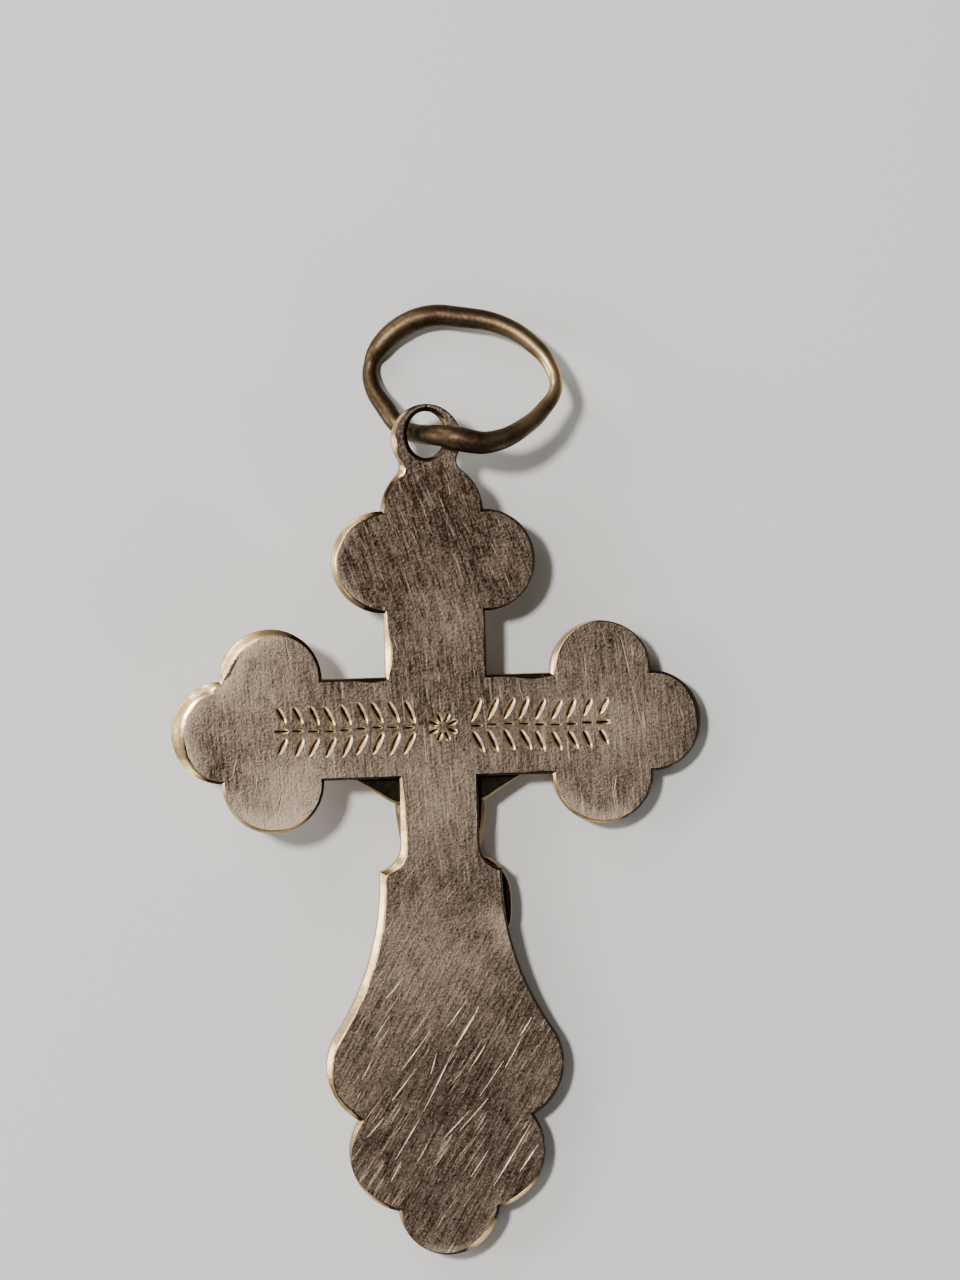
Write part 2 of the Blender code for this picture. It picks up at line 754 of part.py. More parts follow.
def main():
    clear_scene()
    cross = plate()
    # The figure's lofts cross at shallow angles, which the exact solver can lose metal on.
    for piece in list(figure_pieces()):
        combine(cross, piece, "UNION", "MANIFOLD")

    # The pendant leans on the figure's face and left knee and on the end of its right arm.
    lean = Vector((ARM_REACH * LEAN_ACROSS, -FOOT_LENGTH * LEAN_DOWN))
    turn = resting_turn(cross, lean)
    cross.data.transform(turn)
    lift = -lowest([vertex.co for vertex in cross.data.vertices])
    ring = bail_ring(ring_points(turn, lift))
    cross.data.transform(Matrix.Translation((0.0, 0.0, lift)))

    # Middle of the footprint over the origin
    places = [vertex.co for item in (cross, ring) for vertex in item.data.vertices]
    middle_x = (min(p.x for p in places) + max(p.x for p in places)) / 2.0
    middle_y = (min(p.y for p in places) + max(p.y for p in places)) / 2.0
    shift = Matrix.Translation((-middle_x, -middle_y, -lowest(places)))
    for item in (cross, ring):
        item.data.transform(shift)
        item.data.shade_smooth()
        item.data.set_sharp_from_angle(angle=SHARP_ANGLE)

    cross.data.materials.clear()
    cross.data.materials.append(gold_alloy("worn_rose_gold", ROSE_GOLD, ROSE_GOLD_ROUGHNESS))
    ring.data.materials.clear()
    ring.data.materials.append(gold_alloy("drawn_gold_wire", WIRE_GOLD, WIRE_GOLD_ROUGHNESS))


main()
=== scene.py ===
# %% [markdown]
# # A worn gold cross pendant, lying on its face
#
# A small cast cross lies face down, so its flat brushed back looks up. An eyelet on its top bud
# holds a hand-bent wire ring. On its other side a small figure hangs on the cross.
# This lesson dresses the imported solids: it draws the cross again with finer arcs, worn edges and
# real graver's cuts, and gives every surface its metal.

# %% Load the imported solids
import cmath
import json
import math

import bmesh
import bpy
import numpy as np
from mathutils import Matrix, Vector

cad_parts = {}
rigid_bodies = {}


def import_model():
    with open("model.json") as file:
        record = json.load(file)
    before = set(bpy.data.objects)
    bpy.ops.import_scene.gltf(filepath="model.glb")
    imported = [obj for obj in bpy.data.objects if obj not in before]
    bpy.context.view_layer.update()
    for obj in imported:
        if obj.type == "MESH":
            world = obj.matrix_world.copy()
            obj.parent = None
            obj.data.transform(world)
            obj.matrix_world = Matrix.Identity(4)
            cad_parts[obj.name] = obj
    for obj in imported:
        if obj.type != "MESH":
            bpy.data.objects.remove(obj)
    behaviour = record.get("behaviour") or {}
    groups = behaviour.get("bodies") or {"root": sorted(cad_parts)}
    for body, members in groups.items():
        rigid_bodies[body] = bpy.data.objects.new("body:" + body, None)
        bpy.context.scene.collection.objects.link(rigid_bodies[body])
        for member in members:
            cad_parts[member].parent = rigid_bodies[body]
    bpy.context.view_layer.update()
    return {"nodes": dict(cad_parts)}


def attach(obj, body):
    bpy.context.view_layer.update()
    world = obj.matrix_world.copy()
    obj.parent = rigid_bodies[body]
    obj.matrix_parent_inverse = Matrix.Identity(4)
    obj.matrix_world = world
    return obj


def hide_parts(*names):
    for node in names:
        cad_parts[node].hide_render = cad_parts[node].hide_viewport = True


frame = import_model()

MM = 0.001

# %% [markdown]
# ## How the cross lies
#
# The real cross rests on the figure's face and knee and on the end of one arm, so its back is
# tilted by a few degrees. It is far easier to draw a cross that lies flat: the middle of the
# crossing at the origin, the back at z = 0 and the front below it. So everything is drawn that
# way, in millimetres, and laid down at the end. The largest flat face of the solid is its back,
# and that face says how to lay a drawing down.

# %% Read the back's tilt and place from the solid
FOOT_LENGTH = 21.26
SOLID_EDGE = 0.20
SAME_LEVEL = 0.01

solid = frame["nodes"]["cross"].data
areas = {}
for face in solid.polygons:
    facing = tuple(round(part, 2) for part in face.normal)
    areas[facing] = areas.get(facing, 0.0) + face.area
widest = Vector(max(areas, key=areas.get))
back_normal = Vector()
for face in solid.polygons:
    if (face.normal - widest).length < SAME_LEVEL:
        back_normal += face.normal * face.area
back_normal.normalize()

turn = Vector((0.0, 0.0, 1.0)).rotation_difference(back_normal)
unturned = [turn.inverted() @ vertex.co for vertex in solid.vertices]
back_level = max(place.z for place in unturned)
on_back = [place for place in unturned if back_level - place.z < SAME_LEVEL * MM]
crossing = Vector(((min(p.x for p in on_back) + max(p.x for p in on_back)) / 2.0,
                   min(p.y for p in on_back) + (FOOT_LENGTH - SOLID_EDGE) * MM,
                   back_level))
lie = Matrix.Translation(turn @ crossing) @ turn.to_matrix().to_4x4()
print("the back leans by", round(math.degrees(back_normal.angle((0, 0, 1))), 2), "degrees")

# %% [markdown]
# ## Working by hand in code
#
# Operators act on whatever is selected, so each step starts from nothing selected. `cut` takes one
# piece out of another with a Boolean. Points that all but touch spoil such a cut, so they are
# welded first.

# %% Small helpers for edit mode
WELD = 0.0002


def deselect():
    bpy.ops.object.select_all(action="DESELECT")


def choose(piece):
    """Select one piece alone and make it the active one."""
    deselect()
    piece.select_set(True)
    bpy.context.view_layer.objects.active = piece


def open_up(piece, kind="VERT"):
    """Open a piece in edit mode with nothing selected."""
    choose(piece)
    bpy.ops.object.mode_set(mode="EDIT")
    bpy.ops.mesh.select_mode(type=kind)
    bpy.ops.mesh.select_all(action="DESELECT")


def close_up():
    bpy.ops.object.mode_set(mode="OBJECT")


def apply(piece, kind, **settings):
    """Add a modifier with its settings and apply it."""
    choose(piece)
    modifier = piece.modifiers.new(kind.lower(), kind)
    for name, value in settings.items():
        setattr(modifier, name, value)
    bpy.ops.object.modifier_apply(modifier=modifier.name)


def open_edges(piece):
    """How many edges don't have exactly two faces; a closed skin has none."""
    mesh = bmesh.new()
    mesh.from_mesh(piece.data)
    count = sum(len(edge.link_faces) != 2 for edge in mesh.edges)
    mesh.free()
    return count


def weld(piece):
    """Merge points that all but touch and take out the slivers between them."""
    open_up(piece)
    bpy.ops.mesh.select_all(action="SELECT")
    bpy.ops.mesh.remove_doubles(threshold=WELD * MM)
    bpy.ops.mesh.dissolve_degenerate(threshold=WELD * MM)
    close_up()


def cut(piece, cutter, metal, crossing_parts=False):
    """Take the cutter's shape out of a piece; the new faces get a metal by its number."""
    for other in piece.data.materials:
        cutter.data.materials.append(other)
    for face in cutter.data.polygons:
        face.material_index = metal
    weld(piece)
    apply(piece, "BOOLEAN", operation="DIFFERENCE", solver="EXACT", use_self=crossing_parts, object=cutter)
    weld(piece)
    print("cut", cutter.name, "leaves open edges:", open_edges(piece))
    bpy.data.objects.remove(cutter)


def join(pieces, name):
    """Make one object of several."""
    deselect()
    for piece in pieces:
        piece.select_set(True)
    bpy.context.view_layer.objects.active = pieces[0]
    if len(pieces) > 1:
        bpy.ops.object.join()
    pieces[0].name = name
    return pieces[0]


def lay_down(piece):
    """Bring a finished drawing to where the solid lies, with its place in its mesh."""
    choose(piece)
    piece.matrix_world = lie
    bpy.ops.object.transform_apply(location=True, rotation=True, scale=True)


# %% [markdown]
# ## A ladder of rings
#
# Nearly all of this pendant is a run of closed rings: the outline stepping over a rounded edge, or
# the sections of an arm or a leg. By hand one adds a filled circle, lays its points on the first
# ring, then extrudes the face and lays it on the next ring, up to the last. `ladder` does just
# that. Every ring has as many points as the first, and point by point they run side by side.

# %% Build a closed form by extruding from ring to ring


def ladder(name, rings):
    """A closed form through rings of equally many places, in millimetres."""
    deselect()
    bpy.ops.mesh.primitive_circle_add(vertices=len(rings[0]), radius=MM, fill_type="NGON")
    piece = bpy.context.object
    piece.name = name
    bpy.ops.object.mode_set(mode="EDIT")
    before = None
    for ring in rings:
        if before:
            bpy.ops.mesh.extrude_region_move()
        mesh = bmesh.from_edit_mesh(piece.data)
        top = next(face for face in mesh.faces if face.select)
        points = [loop.vert for loop in top.loops]
        if before:
            first = min(range(len(points)), key=lambda k: (points[k].co / MM - before[0]).length)
            points = points[first:] + points[:first]
            if (points[1].co / MM - before[1]).length > (points[-1].co / MM - before[1]).length:
                points = points[:1] + points[:0:-1]
        before = [Vector(place) for place in ring]
        for point, place in zip(points, before):
            point.co = place * MM
        bmesh.update_edit_mesh(piece.data)
    bpy.ops.mesh.select_all(action="SELECT")
    bpy.ops.mesh.normals_make_consistent(inside=False)
    close_up()
    return piece


# %% [markdown]
# ## The outline of the cross
#
# The maker of the model drew this outline with a compass: round buds, hollow sweeps and straight
# bars. A straight side is treated as an arc of a very large circle, so one rule finds every corner:
# two circles cross there. Drawing the same outline with its swelling arcs a little smaller and its
# hollow ones a little larger gives it an even inset, which every rounded edge needs.
# Places in the plane are complex numbers, because turning one is then a plain product.

# %% Sizes of the outline in millimetres
ARM_WIDTH = 4.04
ARM_REACH = 10.64
BUD_RADIUS = 2.04
BUD_SPREAD = 2.04
BUD_SETBACK = 1.96
EYELET_RADIUS = 1.40
EYELET_RISE = 0.88
EYELET_LEAN = 0.18
NECK_FILLET = 0.50
STEM_WIDTH = 3.14
SHOULDER_SWEEP = 1.05
SHOULDER_WIDTH = 4.90
SHOULDER_DROP = 5.76
FLARE_START = 0.24
UPPER_LOBE_RADIUS = 2.41
UPPER_LOBE_SPREAD = 2.37
UPPER_LOBE_DROP = 13.60
LOWER_LOBE_RADIUS = 2.38
LOWER_LOBE_SPREAD = 1.56
LOWER_LOBE_DROP = 17.08
STRAIGHT = 10000.0
SPACING = 0.20
FEWEST_STEPS = 4
EYELET_Y = ARM_REACH + EYELET_RISE

# %% Find the corners and walk the outline


def circles_cross(first, first_radius, second, second_radius):
    """The two places where two circles cross."""
    span = second - first
    along = (abs(span) ** 2 + first_radius ** 2 - second_radius ** 2) / (2.0 * abs(span))
    across = math.sqrt(max(first_radius ** 2 - along ** 2, 0.0))
    unit = span / abs(span)
    return [first + unit * (along + side * across * 1j) for side in (-1, 1)]


def half_outline(eyelet_x):
    """Arcs down the right half: middle, radius, and 1 where it swells or -1 where it is hollow."""
    half_arm = ARM_WIDTH / 2.0
    half_stem = STEM_WIDTH / 2.0
    half_shoulder = SHOULDER_WIDTH / 2.0
    end_bud = ARM_REACH - BUD_RADIUS
    side_bud = end_bud - BUD_SETBACK
    arcs = []
    if eyelet_x is not None:
        eyelet = complex(eyelet_x, EYELET_Y)
        necks = circles_cross(end_bud * 1j, BUD_RADIUS + NECK_FILLET,
                              eyelet, EYELET_RADIUS + NECK_FILLET)
        arcs = [(eyelet, EYELET_RADIUS, 1), (max(necks, key=lambda p: p.real), NECK_FILLET, -1)]

    overhang = half_stem + SHOULDER_SWEEP - half_shoulder
    sweep_y = -SHOULDER_DROP + math.sqrt(SHOULDER_SWEEP ** 2 - overhang ** 2)
    flare_y = -SHOULDER_DROP - FLARE_START
    reach = half_shoulder - UPPER_LOBE_SPREAD
    drop = flare_y + UPPER_LOBE_DROP
    flare = (reach ** 2 + drop ** 2 - UPPER_LOBE_RADIUS ** 2) / (2.0 * (UPPER_LOBE_RADIUS - reach))
    return arcs + [
        (end_bud * 1j, BUD_RADIUS, 1),
        (complex(BUD_SPREAD, side_bud), BUD_RADIUS, 1),
        (complex(half_arm - STRAIGHT, 0.0), STRAIGHT, 1),
        (complex(0.0, half_arm - STRAIGHT), STRAIGHT, 1),
        (complex(side_bud, BUD_SPREAD), BUD_RADIUS, 1),
        (complex(end_bud, 0.0), BUD_RADIUS, 1),
        (complex(side_bud, -BUD_SPREAD), BUD_RADIUS, 1),
        (complex(0.0, STRAIGHT - half_arm), STRAIGHT, 1),
        (complex(half_stem - STRAIGHT, 0.0), STRAIGHT, 1),
        (complex(half_stem + SHOULDER_SWEEP, sweep_y), SHOULDER_SWEEP, -1),
        (complex(half_shoulder + flare, flare_y), flare, -1),
        (complex(UPPER_LOBE_SPREAD, -UPPER_LOBE_DROP), UPPER_LOBE_RADIUS, 1),
        (complex(LOWER_LOBE_SPREAD, -LOWER_LOBE_DROP), LOWER_LOBE_RADIUS, 1),
        (complex(0.0, BUD_RADIUS - FOOT_LENGTH), BUD_RADIUS, 1),
    ]


def corners_of(arcs, inset):
    """Where each arc starts and the last one ends, drawn in by inset."""
    drawn = [(middle, radius - bulge * inset) for middle, radius, bulge in arcs]
    corners = [drawn[0][0] + drawn[0][1] * 1j]
    for first, second in zip(drawn, drawn[1:]):
        straight = max(first[1], second[1]) > STRAIGHT / 2.0
        outermost = min if straight else max
        corners.append(outermost(circles_cross(*first, *second), key=abs))
    return corners + [drawn[-1][0] - drawn[-1][1] * 1j]


def turn_of(middle, start, end, bulge):
    """The signed angle from start to end on a clockwise walk."""
    angle = cmath.phase((end - middle) / (start - middle))
    return angle - bulge * math.tau if angle * bulge > 0.0 else angle


def half_walk(eyelet_x, inset):
    """Places down the right half, as many for every inset."""
    arcs = half_outline(eyelet_x)
    whole = corners_of(arcs, 0.0)
    drawn = corners_of(arcs, inset)
    places = []
    for k, (middle, radius, bulge) in enumerate(arcs):
        length = abs(turn_of(middle, whole[k], whole[k + 1], bulge)) * radius
        steps = max(FEWEST_STEPS, round(length / SPACING))
        angle = turn_of(middle, drawn[k], drawn[k + 1], bulge)
        arm = drawn[k] - middle
        places += [middle + arm * cmath.exp(1j * angle * step / steps) for step in range(steps)]
    return places + [drawn[-1]]


def outline(inset=0.0, with_eyelet=True):
    """The whole outline, clockwise from the top."""
    right = half_walk(-EYELET_LEAN if with_eyelet else None, inset)
    left = half_walk(EYELET_LEAN if with_eyelet else None, inset)
    return right + [complex(-place.real, place.imag) for place in reversed(left[1:-1])]


print("points round the outline:", len(outline()))

# %% [markdown]
# ## The plate, its edges worn round
#
# A cast plate leaves the file with an even, narrow edge. Years of wear round it off most where it
# meets the world: the arm ends, the buds and the tip of the foot. The front keeps a quarter round.
# On the back the edge bends over more gently, and grows near a few worn places of a short table.
# Nothing rubs deep inside the notches between the buds, so there the edge stays keen.

# %% Wear of the back's edge
KEEN_EDGE = 0.10
LEFT_WEAR = 0.20
LEFT_DROP = 0.12
UP_SHARE = 0.15
LOW_SHARE = 0.60
NOTCH_REACH = 0.90

# Columns: waves along x and along y, their share of the edge's size
UNEVEN_WAVES = ((5.1, 3.7, 0.06), (7.3, -6.1, 0.04))

# Columns: x, y, how far the wear spreads, extra width, extra height
WORN_PLACES = (
    (-10.4, 0.3, 1.7, 0.36, 0.02), (-9.6, -2.0, 1.0, -0.16, -0.07), (-7.7, 4.0, 1.7, 0.28, 0.03),
    (-6.8, -4.0, 1.6, 0.10, 0.02), (10.6, 0.4, 1.0, 0.14, 0.05), (6.2, -4.0, 1.6, 0.08, 0.04),
    (6.0, 3.4, 2.0, -0.12, -0.06), (3.8, 7.0, 1.4, 0.08, 0.03), (2.9, -18.8, 0.9, 0.12, 0.07),
    (1.4, -20.8, 0.9, 0.14, 0.08), (-4.7, -14.7, 1.0, -0.14, -0.08), (-4.0, -17.4, 1.6, -0.16, -0.09),
    (-1.6, -20.4, 1.2, -0.12, -0.06), (0.0, 8.6, 4.2, -0.08, -0.05), (0.0, 12.2, 1.6, -0.10, -0.04),
)


def eased_share(value, start, ramp):
    """0 before a start and 1 after a ramp, with a soft turn at both ends."""
    share = min(max((value - start) / ramp, 0.0), 1.0)
    return share * share * (3.0 - 2.0 * share)


# A notch is a corner between two arcs that both swell.
right_arcs = half_outline(None)
right_corners = corners_of(right_arcs, 0.0)[1:]
notches = [corner for corner, before, after in zip(right_corners, right_arcs, right_arcs[1:])
           if before[2] == after[2] == 1]


def wear(place, outward):
    """Width and height of the rounded edge at a place of the outline that faces outward."""
    facing = -outward.real + UP_SHARE * max(outward.imag, 0.0) + LOW_SHARE * min(outward.imag, 0.0)
    facing = min(max(facing, 0.0), 1.0)
    width = KEEN_EDGE + LEFT_WEAR * facing
    height = KEEN_EDGE + LEFT_DROP * facing
    for x, y, spread, wider, higher in WORN_PLACES:
        share = math.exp(-(abs(place - complex(x, y)) / spread) ** 2)
        width += wider * share
        height += higher * share
    mirrored = complex(abs(place.real), place.imag)
    calm = eased_share(min(abs(mirrored - notch) for notch in notches), 0.0, NOTCH_REACH)
    uneven = 1.0
    for along_x, along_y, depth in UNEVEN_WAVES:
        uneven += depth * math.sin(along_x * place.real + along_y * place.imag)
    width, height = (KEEN_EDGE + (size - KEEN_EDGE) * calm * uneven for size in (width, height))
    return max(width, KEEN_EDGE / 2.0), max(height, KEEN_EDGE / 2.0)


print("notches that stay keen on each side:", len(notches))

# %% [markdown]
# ## From the back over the wall to the front
#
# With the outline and its wear known, the plate is one ladder: rings from the flat back over the
# worn edge, one round the middle of the wall, and rings over the front's edge. A bevel would give
# one even width all round, which this old edge hasn't got.

# %% Step the outline over both edges
PLATE_THICKNESS = 0.98
FRONT_EDGE = 0.18
DEEPEST_INSET = 0.80
EDGE_STEPS = 6

outer = outline()
inner = outline(DEEPEST_INSET)


def edge_ring(step, edge_of, level, sign, worn=False):
    """One ring between the flat face, at step 0, and the wall: a quarter round, or worn gentler."""
    share = step / EDGE_STEPS
    angle = math.pi / 2.0 * share
    in_share = 1.0 - share if worn else 1.0 - math.sin(angle)
    down_share = share ** 2 * (2.0 - share) if worn else 1.0 - math.cos(angle)
    ring = []
    for place, deep in zip(outer, inner):
        width, height = edge_of(place, (place - deep) / abs(place - deep))
        inwards = place + (deep - place) * width * in_share / DEEPEST_INSET
        ring.append((inwards.real, inwards.imag, level + sign * height * down_share))
    return ring


back_rings = [edge_ring(step, wear, 0.0, -1, worn=True) for step in range(EDGE_STEPS + 1)]
wall_middle = [(place.real, place.imag, -PLATE_THICKNESS / 2.0) for place in outer]
front_rings = [edge_ring(step, lambda *_: (FRONT_EDGE, FRONT_EDGE), -PLATE_THICKNESS, 1)
               for step in reversed(range(EDGE_STEPS + 1))]
plate = ladder("cross_plate", back_rings + [wall_middle] + front_rings)
print("faces of the plate:", len(plate.data.polygons))

# %% Keep a place in the list of metals for the back, the edges, the field and the cuts
BACK, EDGE, FIELD, CUTS, SCRAPES = range(5)
LEVEL = 0.9999

for name in ("back", "edge", "field", "cuts", "scrapes"):
    plate.data.materials.append(bpy.data.materials.new(name))
for face in plate.data.polygons:
    face.material_index = BACK if face.normal.z > LEVEL else EDGE
print("faces of the flat back:", sum(face.material_index == BACK for face in plate.data.polygons))

# %% [markdown]
# ## The eyelet, pressed thinner and worn through
#
# The eyelet is a tab of the same plate, filed thinner so that a ring can swing in it. A dozen
# cuts across the neck give the metal something to bend at, and what lies beyond them is pressed
# towards the middle of its thickness. Then the hole: an oval, because the ring wore it upwards, and
# wider at both faces.

# %% Press the eyelet thinner
EYELET_SINK = 0.06
EYELET_THICKNESS = 0.62
NECK_START = ARM_REACH - FRONT_EDGE
NECK_RAMP = 0.36
SINK_START = ARM_REACH - 0.90
SINK_RAMP = 1.30
NECK_CUTS = 12

open_up(plate)
for k in range(NECK_CUTS):
    height = SINK_START + SINK_RAMP * k / (NECK_CUTS - 1)
    bpy.ops.mesh.select_all(action="SELECT")
    bpy.ops.mesh.bisect(plane_co=(0.0, height * MM, 0.0), plane_no=(0.0, 1.0, 0.0))
mesh = bmesh.from_edit_mesh(plate.data)
for vertex in mesh.verts:
    height = vertex.co.y / MM
    thin = 1.0 + (EYELET_THICKNESS / PLATE_THICKNESS - 1.0) * eased_share(height, NECK_START, NECK_RAMP)
    vertex.co.z = vertex.co.z * thin - EYELET_SINK * MM * eased_share(height, SINK_START, SINK_RAMP)
bmesh.update_edit_mesh(plate.data)
close_up()
print("eyelet's thickness in mm:", EYELET_THICKNESS, "of the plate's", PLATE_THICKNESS)

# %% Cut the worn hole
HOLE_WIDTH = 1.50
HOLE_HEIGHT = 1.86
HOLE_WEAR = 0.18
HOLE_RIM = 0.17
HOLE_POINTS = 72
EYELET_DEPTH = EYELET_SINK + EYELET_THICKNESS
hole_middle = complex(-EYELET_LEAN, EYELET_Y + HOLE_WEAR)


def oval(middle, width, height, level, points):
    """A level oval ring."""
    angles = [math.tau * k / points for k in range(points)]
    return [(middle.real + width / 2.0 * math.cos(angle),
             middle.imag + height / 2.0 * math.sin(angle), level) for angle in angles]


# The ring has worn both rims of the hole round, so each is a quarter round again.
hole_rings = [(HOLE_RIM, -EYELET_SINK + HOLE_RIM)]
for step in range(EDGE_STEPS + 1):
    angle = math.pi / 2.0 * step / EDGE_STEPS
    hole_rings.append((HOLE_RIM * (1.0 - math.sin(angle)),
                       -EYELET_SINK - HOLE_RIM * (1.0 - math.cos(angle))))
hole_rings += [(flare, -EYELET_SINK - EYELET_DEPTH - level) for flare, level in reversed(hole_rings)]
cut(plate, ladder("hole", [
    oval(hole_middle, HOLE_WIDTH + 2.0 * flare, HOLE_HEIGHT + 2.0 * flare, level, HOLE_POINTS)
    for flare, level in hole_rings]), EDGE)

# %% [markdown]
# ## The sunk field of the front
#
# The front has a raised rim, which is what is left when the field inside it is sunk. The cutter is
# the same outline drawn in by the rim's width. It flares a little at its mouth, so the rim gets a
# soft inner edge, and its bottom edge is rounded as a cast corner is.

# %% Sink the field
RIM_WIDTH = 0.48
RIM_HEIGHT = 0.20
RIM_SLOPE = 0.10
FIELD_DEPTH = PLATE_THICKNESS - RIM_HEIGHT

# Columns: inset from the outline, depth below the back
FIELD_PROFILE = (
    (RIM_WIDTH + RIM_SLOPE + 0.06, FIELD_DEPTH),
    (RIM_WIDTH + RIM_SLOPE, FIELD_DEPTH + 0.02),
    (RIM_WIDTH + RIM_SLOPE * 0.6, FIELD_DEPTH + 0.08),
    (RIM_WIDTH + RIM_SLOPE * 0.2, FIELD_DEPTH + 0.15),
    (RIM_WIDTH - RIM_SLOPE * 0.3, FIELD_DEPTH + 0.19),
    (RIM_WIDTH - RIM_SLOPE, FIELD_DEPTH + 0.22),
    (RIM_WIDTH - RIM_SLOPE * 2.0, FIELD_DEPTH + 0.25),
)
field_rings = [[(place.real, place.imag, -depth) for place in outline(inset, with_eyelet=False)]
               for inset, depth in FIELD_PROFILE]
cut(plate, ladder("field", field_rings), FIELD)
print("faces of the plate with its field:", len(plate.data.polygons))

# %% [markdown]
# ## Graver's cuts across the arms
#
# On the real cross a band of hand engraving runs across the arms. Here the band is a plain laurel:
# a small flower in the middle and a branch of leaves to each side. A graver leaves a groove with
# the section of a V, wide in its middle and pointed where the tool enters and leaves. So one cut is
# a little boat: an oval deck above the metal, whose bottom is drawn together to a keel. It is made
# once and copied, and all the boats together are taken out of the back.

# %% Make one boat and copy it along the band
BOAT_POINTS = 16
DECK = 0.03
KEEL_SHARE = 0.62
BILGE_LENGTH = 0.76
BILGE_WIDTH = 0.34
BILGE_DEPTH = 0.55
BOAT_WELD = 0.001


def boat(name, length, width, depth):
    """A cutter along x with a V section: a deck just above the metal and a keel below it."""
    deck = oval(0j, length, width, DECK, BOAT_POINTS)
    bilge = [(x * BILGE_LENGTH, y * BILGE_WIDTH, -depth * BILGE_DEPTH) for x, y, _ in deck]
    keel = [(x * KEEL_SHARE, 0.0, -depth) for x, _, _ in deck]
    piece = ladder(name, [deck, bilge, keel])
    open_up(piece)
    bpy.ops.mesh.select_all(action="SELECT")
    bpy.ops.mesh.remove_doubles(threshold=BOAT_WELD * MM)
    bpy.ops.mesh.normals_make_consistent(inside=False)
    close_up()
    return piece


def copy_to(model, x, y, angle, length=1.0, width=1.0):
    """A copy of a cutter with its own mesh, stretched, turned and placed."""
    item = model.copy()
    item.data = model.data.copy()
    bpy.context.scene.collection.objects.link(item)
    place = Matrix.Translation((x * MM, y * MM, 0.0)) @ Matrix.Rotation(angle, 4, "Z")
    item.data.transform(place @ Matrix.Diagonal((length, width, 1.0, 1.0)))
    return item


# %% The flower in the middle
FLOWER_X = 0.20
FLOWER_EYE = 0.16
FLOWER_PETALS = 8
PETAL_LENGTH = 0.50
PETAL_SHARE = 0.80
LEAF_LENGTH = 1.14
LEAF_WIDTH = 0.40
LEAF_DEPTH = 0.115

leaf = boat("leaf", LEAF_LENGTH, LEAF_WIDTH, LEAF_DEPTH)
cutters = []
for k in range(FLOWER_PETALS):
    angle = math.tau * (k + 0.5) / FLOWER_PETALS
    reach = FLOWER_EYE + PETAL_LENGTH / 2.0
    cutters.append(copy_to(leaf, FLOWER_X + reach * math.cos(angle), reach * math.sin(angle), angle,
                           PETAL_LENGTH / LEAF_LENGTH, PETAL_SHARE))
print("petals:", len(cutters))

# %% [markdown]
# ## The two branches
#
# Each branch runs outwards from the flower: pairs of leaves on short cuts of a stem, and one leaf at
# its end. A hand never sets two leaves quite alike, so the stem wanders a little and each leaf turns
# a little, and the leaves get smaller towards the end.

# %% Lay out the branches
BAND_LEFT = -6.55
BAND_RIGHT = 6.95
BRANCH_START = 1.05
BRANCH_END = 0.6
LEAF_PITCH = 0.62
LEAF_SLANT = math.radians(64)
LEAF_ROOT = 0.13
LEAF_LOSS = 0.25
STEM_CUT = 0.20
STEM_SHARE = 0.80
WANDER = 0.05
WANDER_RATE = 0.9
UNEVEN_TURN = 0.05
TURN_RATE = 2.1
LAST_LEAF_X = 0.28
LAST_LEAF_LENGTH = 0.62
LAST_LEAF_WIDTH = 0.8

for side, end in ((-1, BAND_LEFT), (1, BAND_RIGHT)):
    start = FLOWER_X + side * BRANCH_START
    count = int((abs(end - start) - BRANCH_END) / LEAF_PITCH)
    pitch = (abs(end - start) - BRANCH_END) / count
    for k in range(count + 1):
        x = start + side * pitch * k
        y = WANDER * math.sin(k * WANDER_RATE)
        for up in (-1, 1):
            slant = LEAF_SLANT + UNEVEN_TURN * math.sin(TURN_RATE * k + up)
            reach = LEAF_ROOT + LEAF_LENGTH / 2.0
            angle = up * slant if side > 0 else math.pi - up * slant
            cutters.append(copy_to(leaf, x + reach * math.cos(angle), y + reach * math.sin(angle), angle,
                                   1.0 - LEAF_LOSS * (k / count) ** 2, 1.0))
        if k < count:
            cutters.append(copy_to(leaf, x + side * pitch / 2.0, y, 0.0,
                                   pitch * STEM_SHARE / LEAF_LENGTH, STEM_CUT / LEAF_WIDTH))
    cutters.append(copy_to(leaf, end - side * LAST_LEAF_X, 0.0, 0.0, LAST_LEAF_LENGTH, LAST_LEAF_WIDTH))
bpy.data.objects.remove(leaf)
print("graver's cuts:", len(cutters))

# %% [markdown]
# ## Long scratches of use
#
# Among the brush's fine lines run a few dozen real scratches, long enough to catch the light one by
# one. Each is a narrow boat again, as shallow as a fifth of its width. Its four-sided faces aren't
# flat, and a Boolean would split some of them the wrong way, so they are split beforehand.

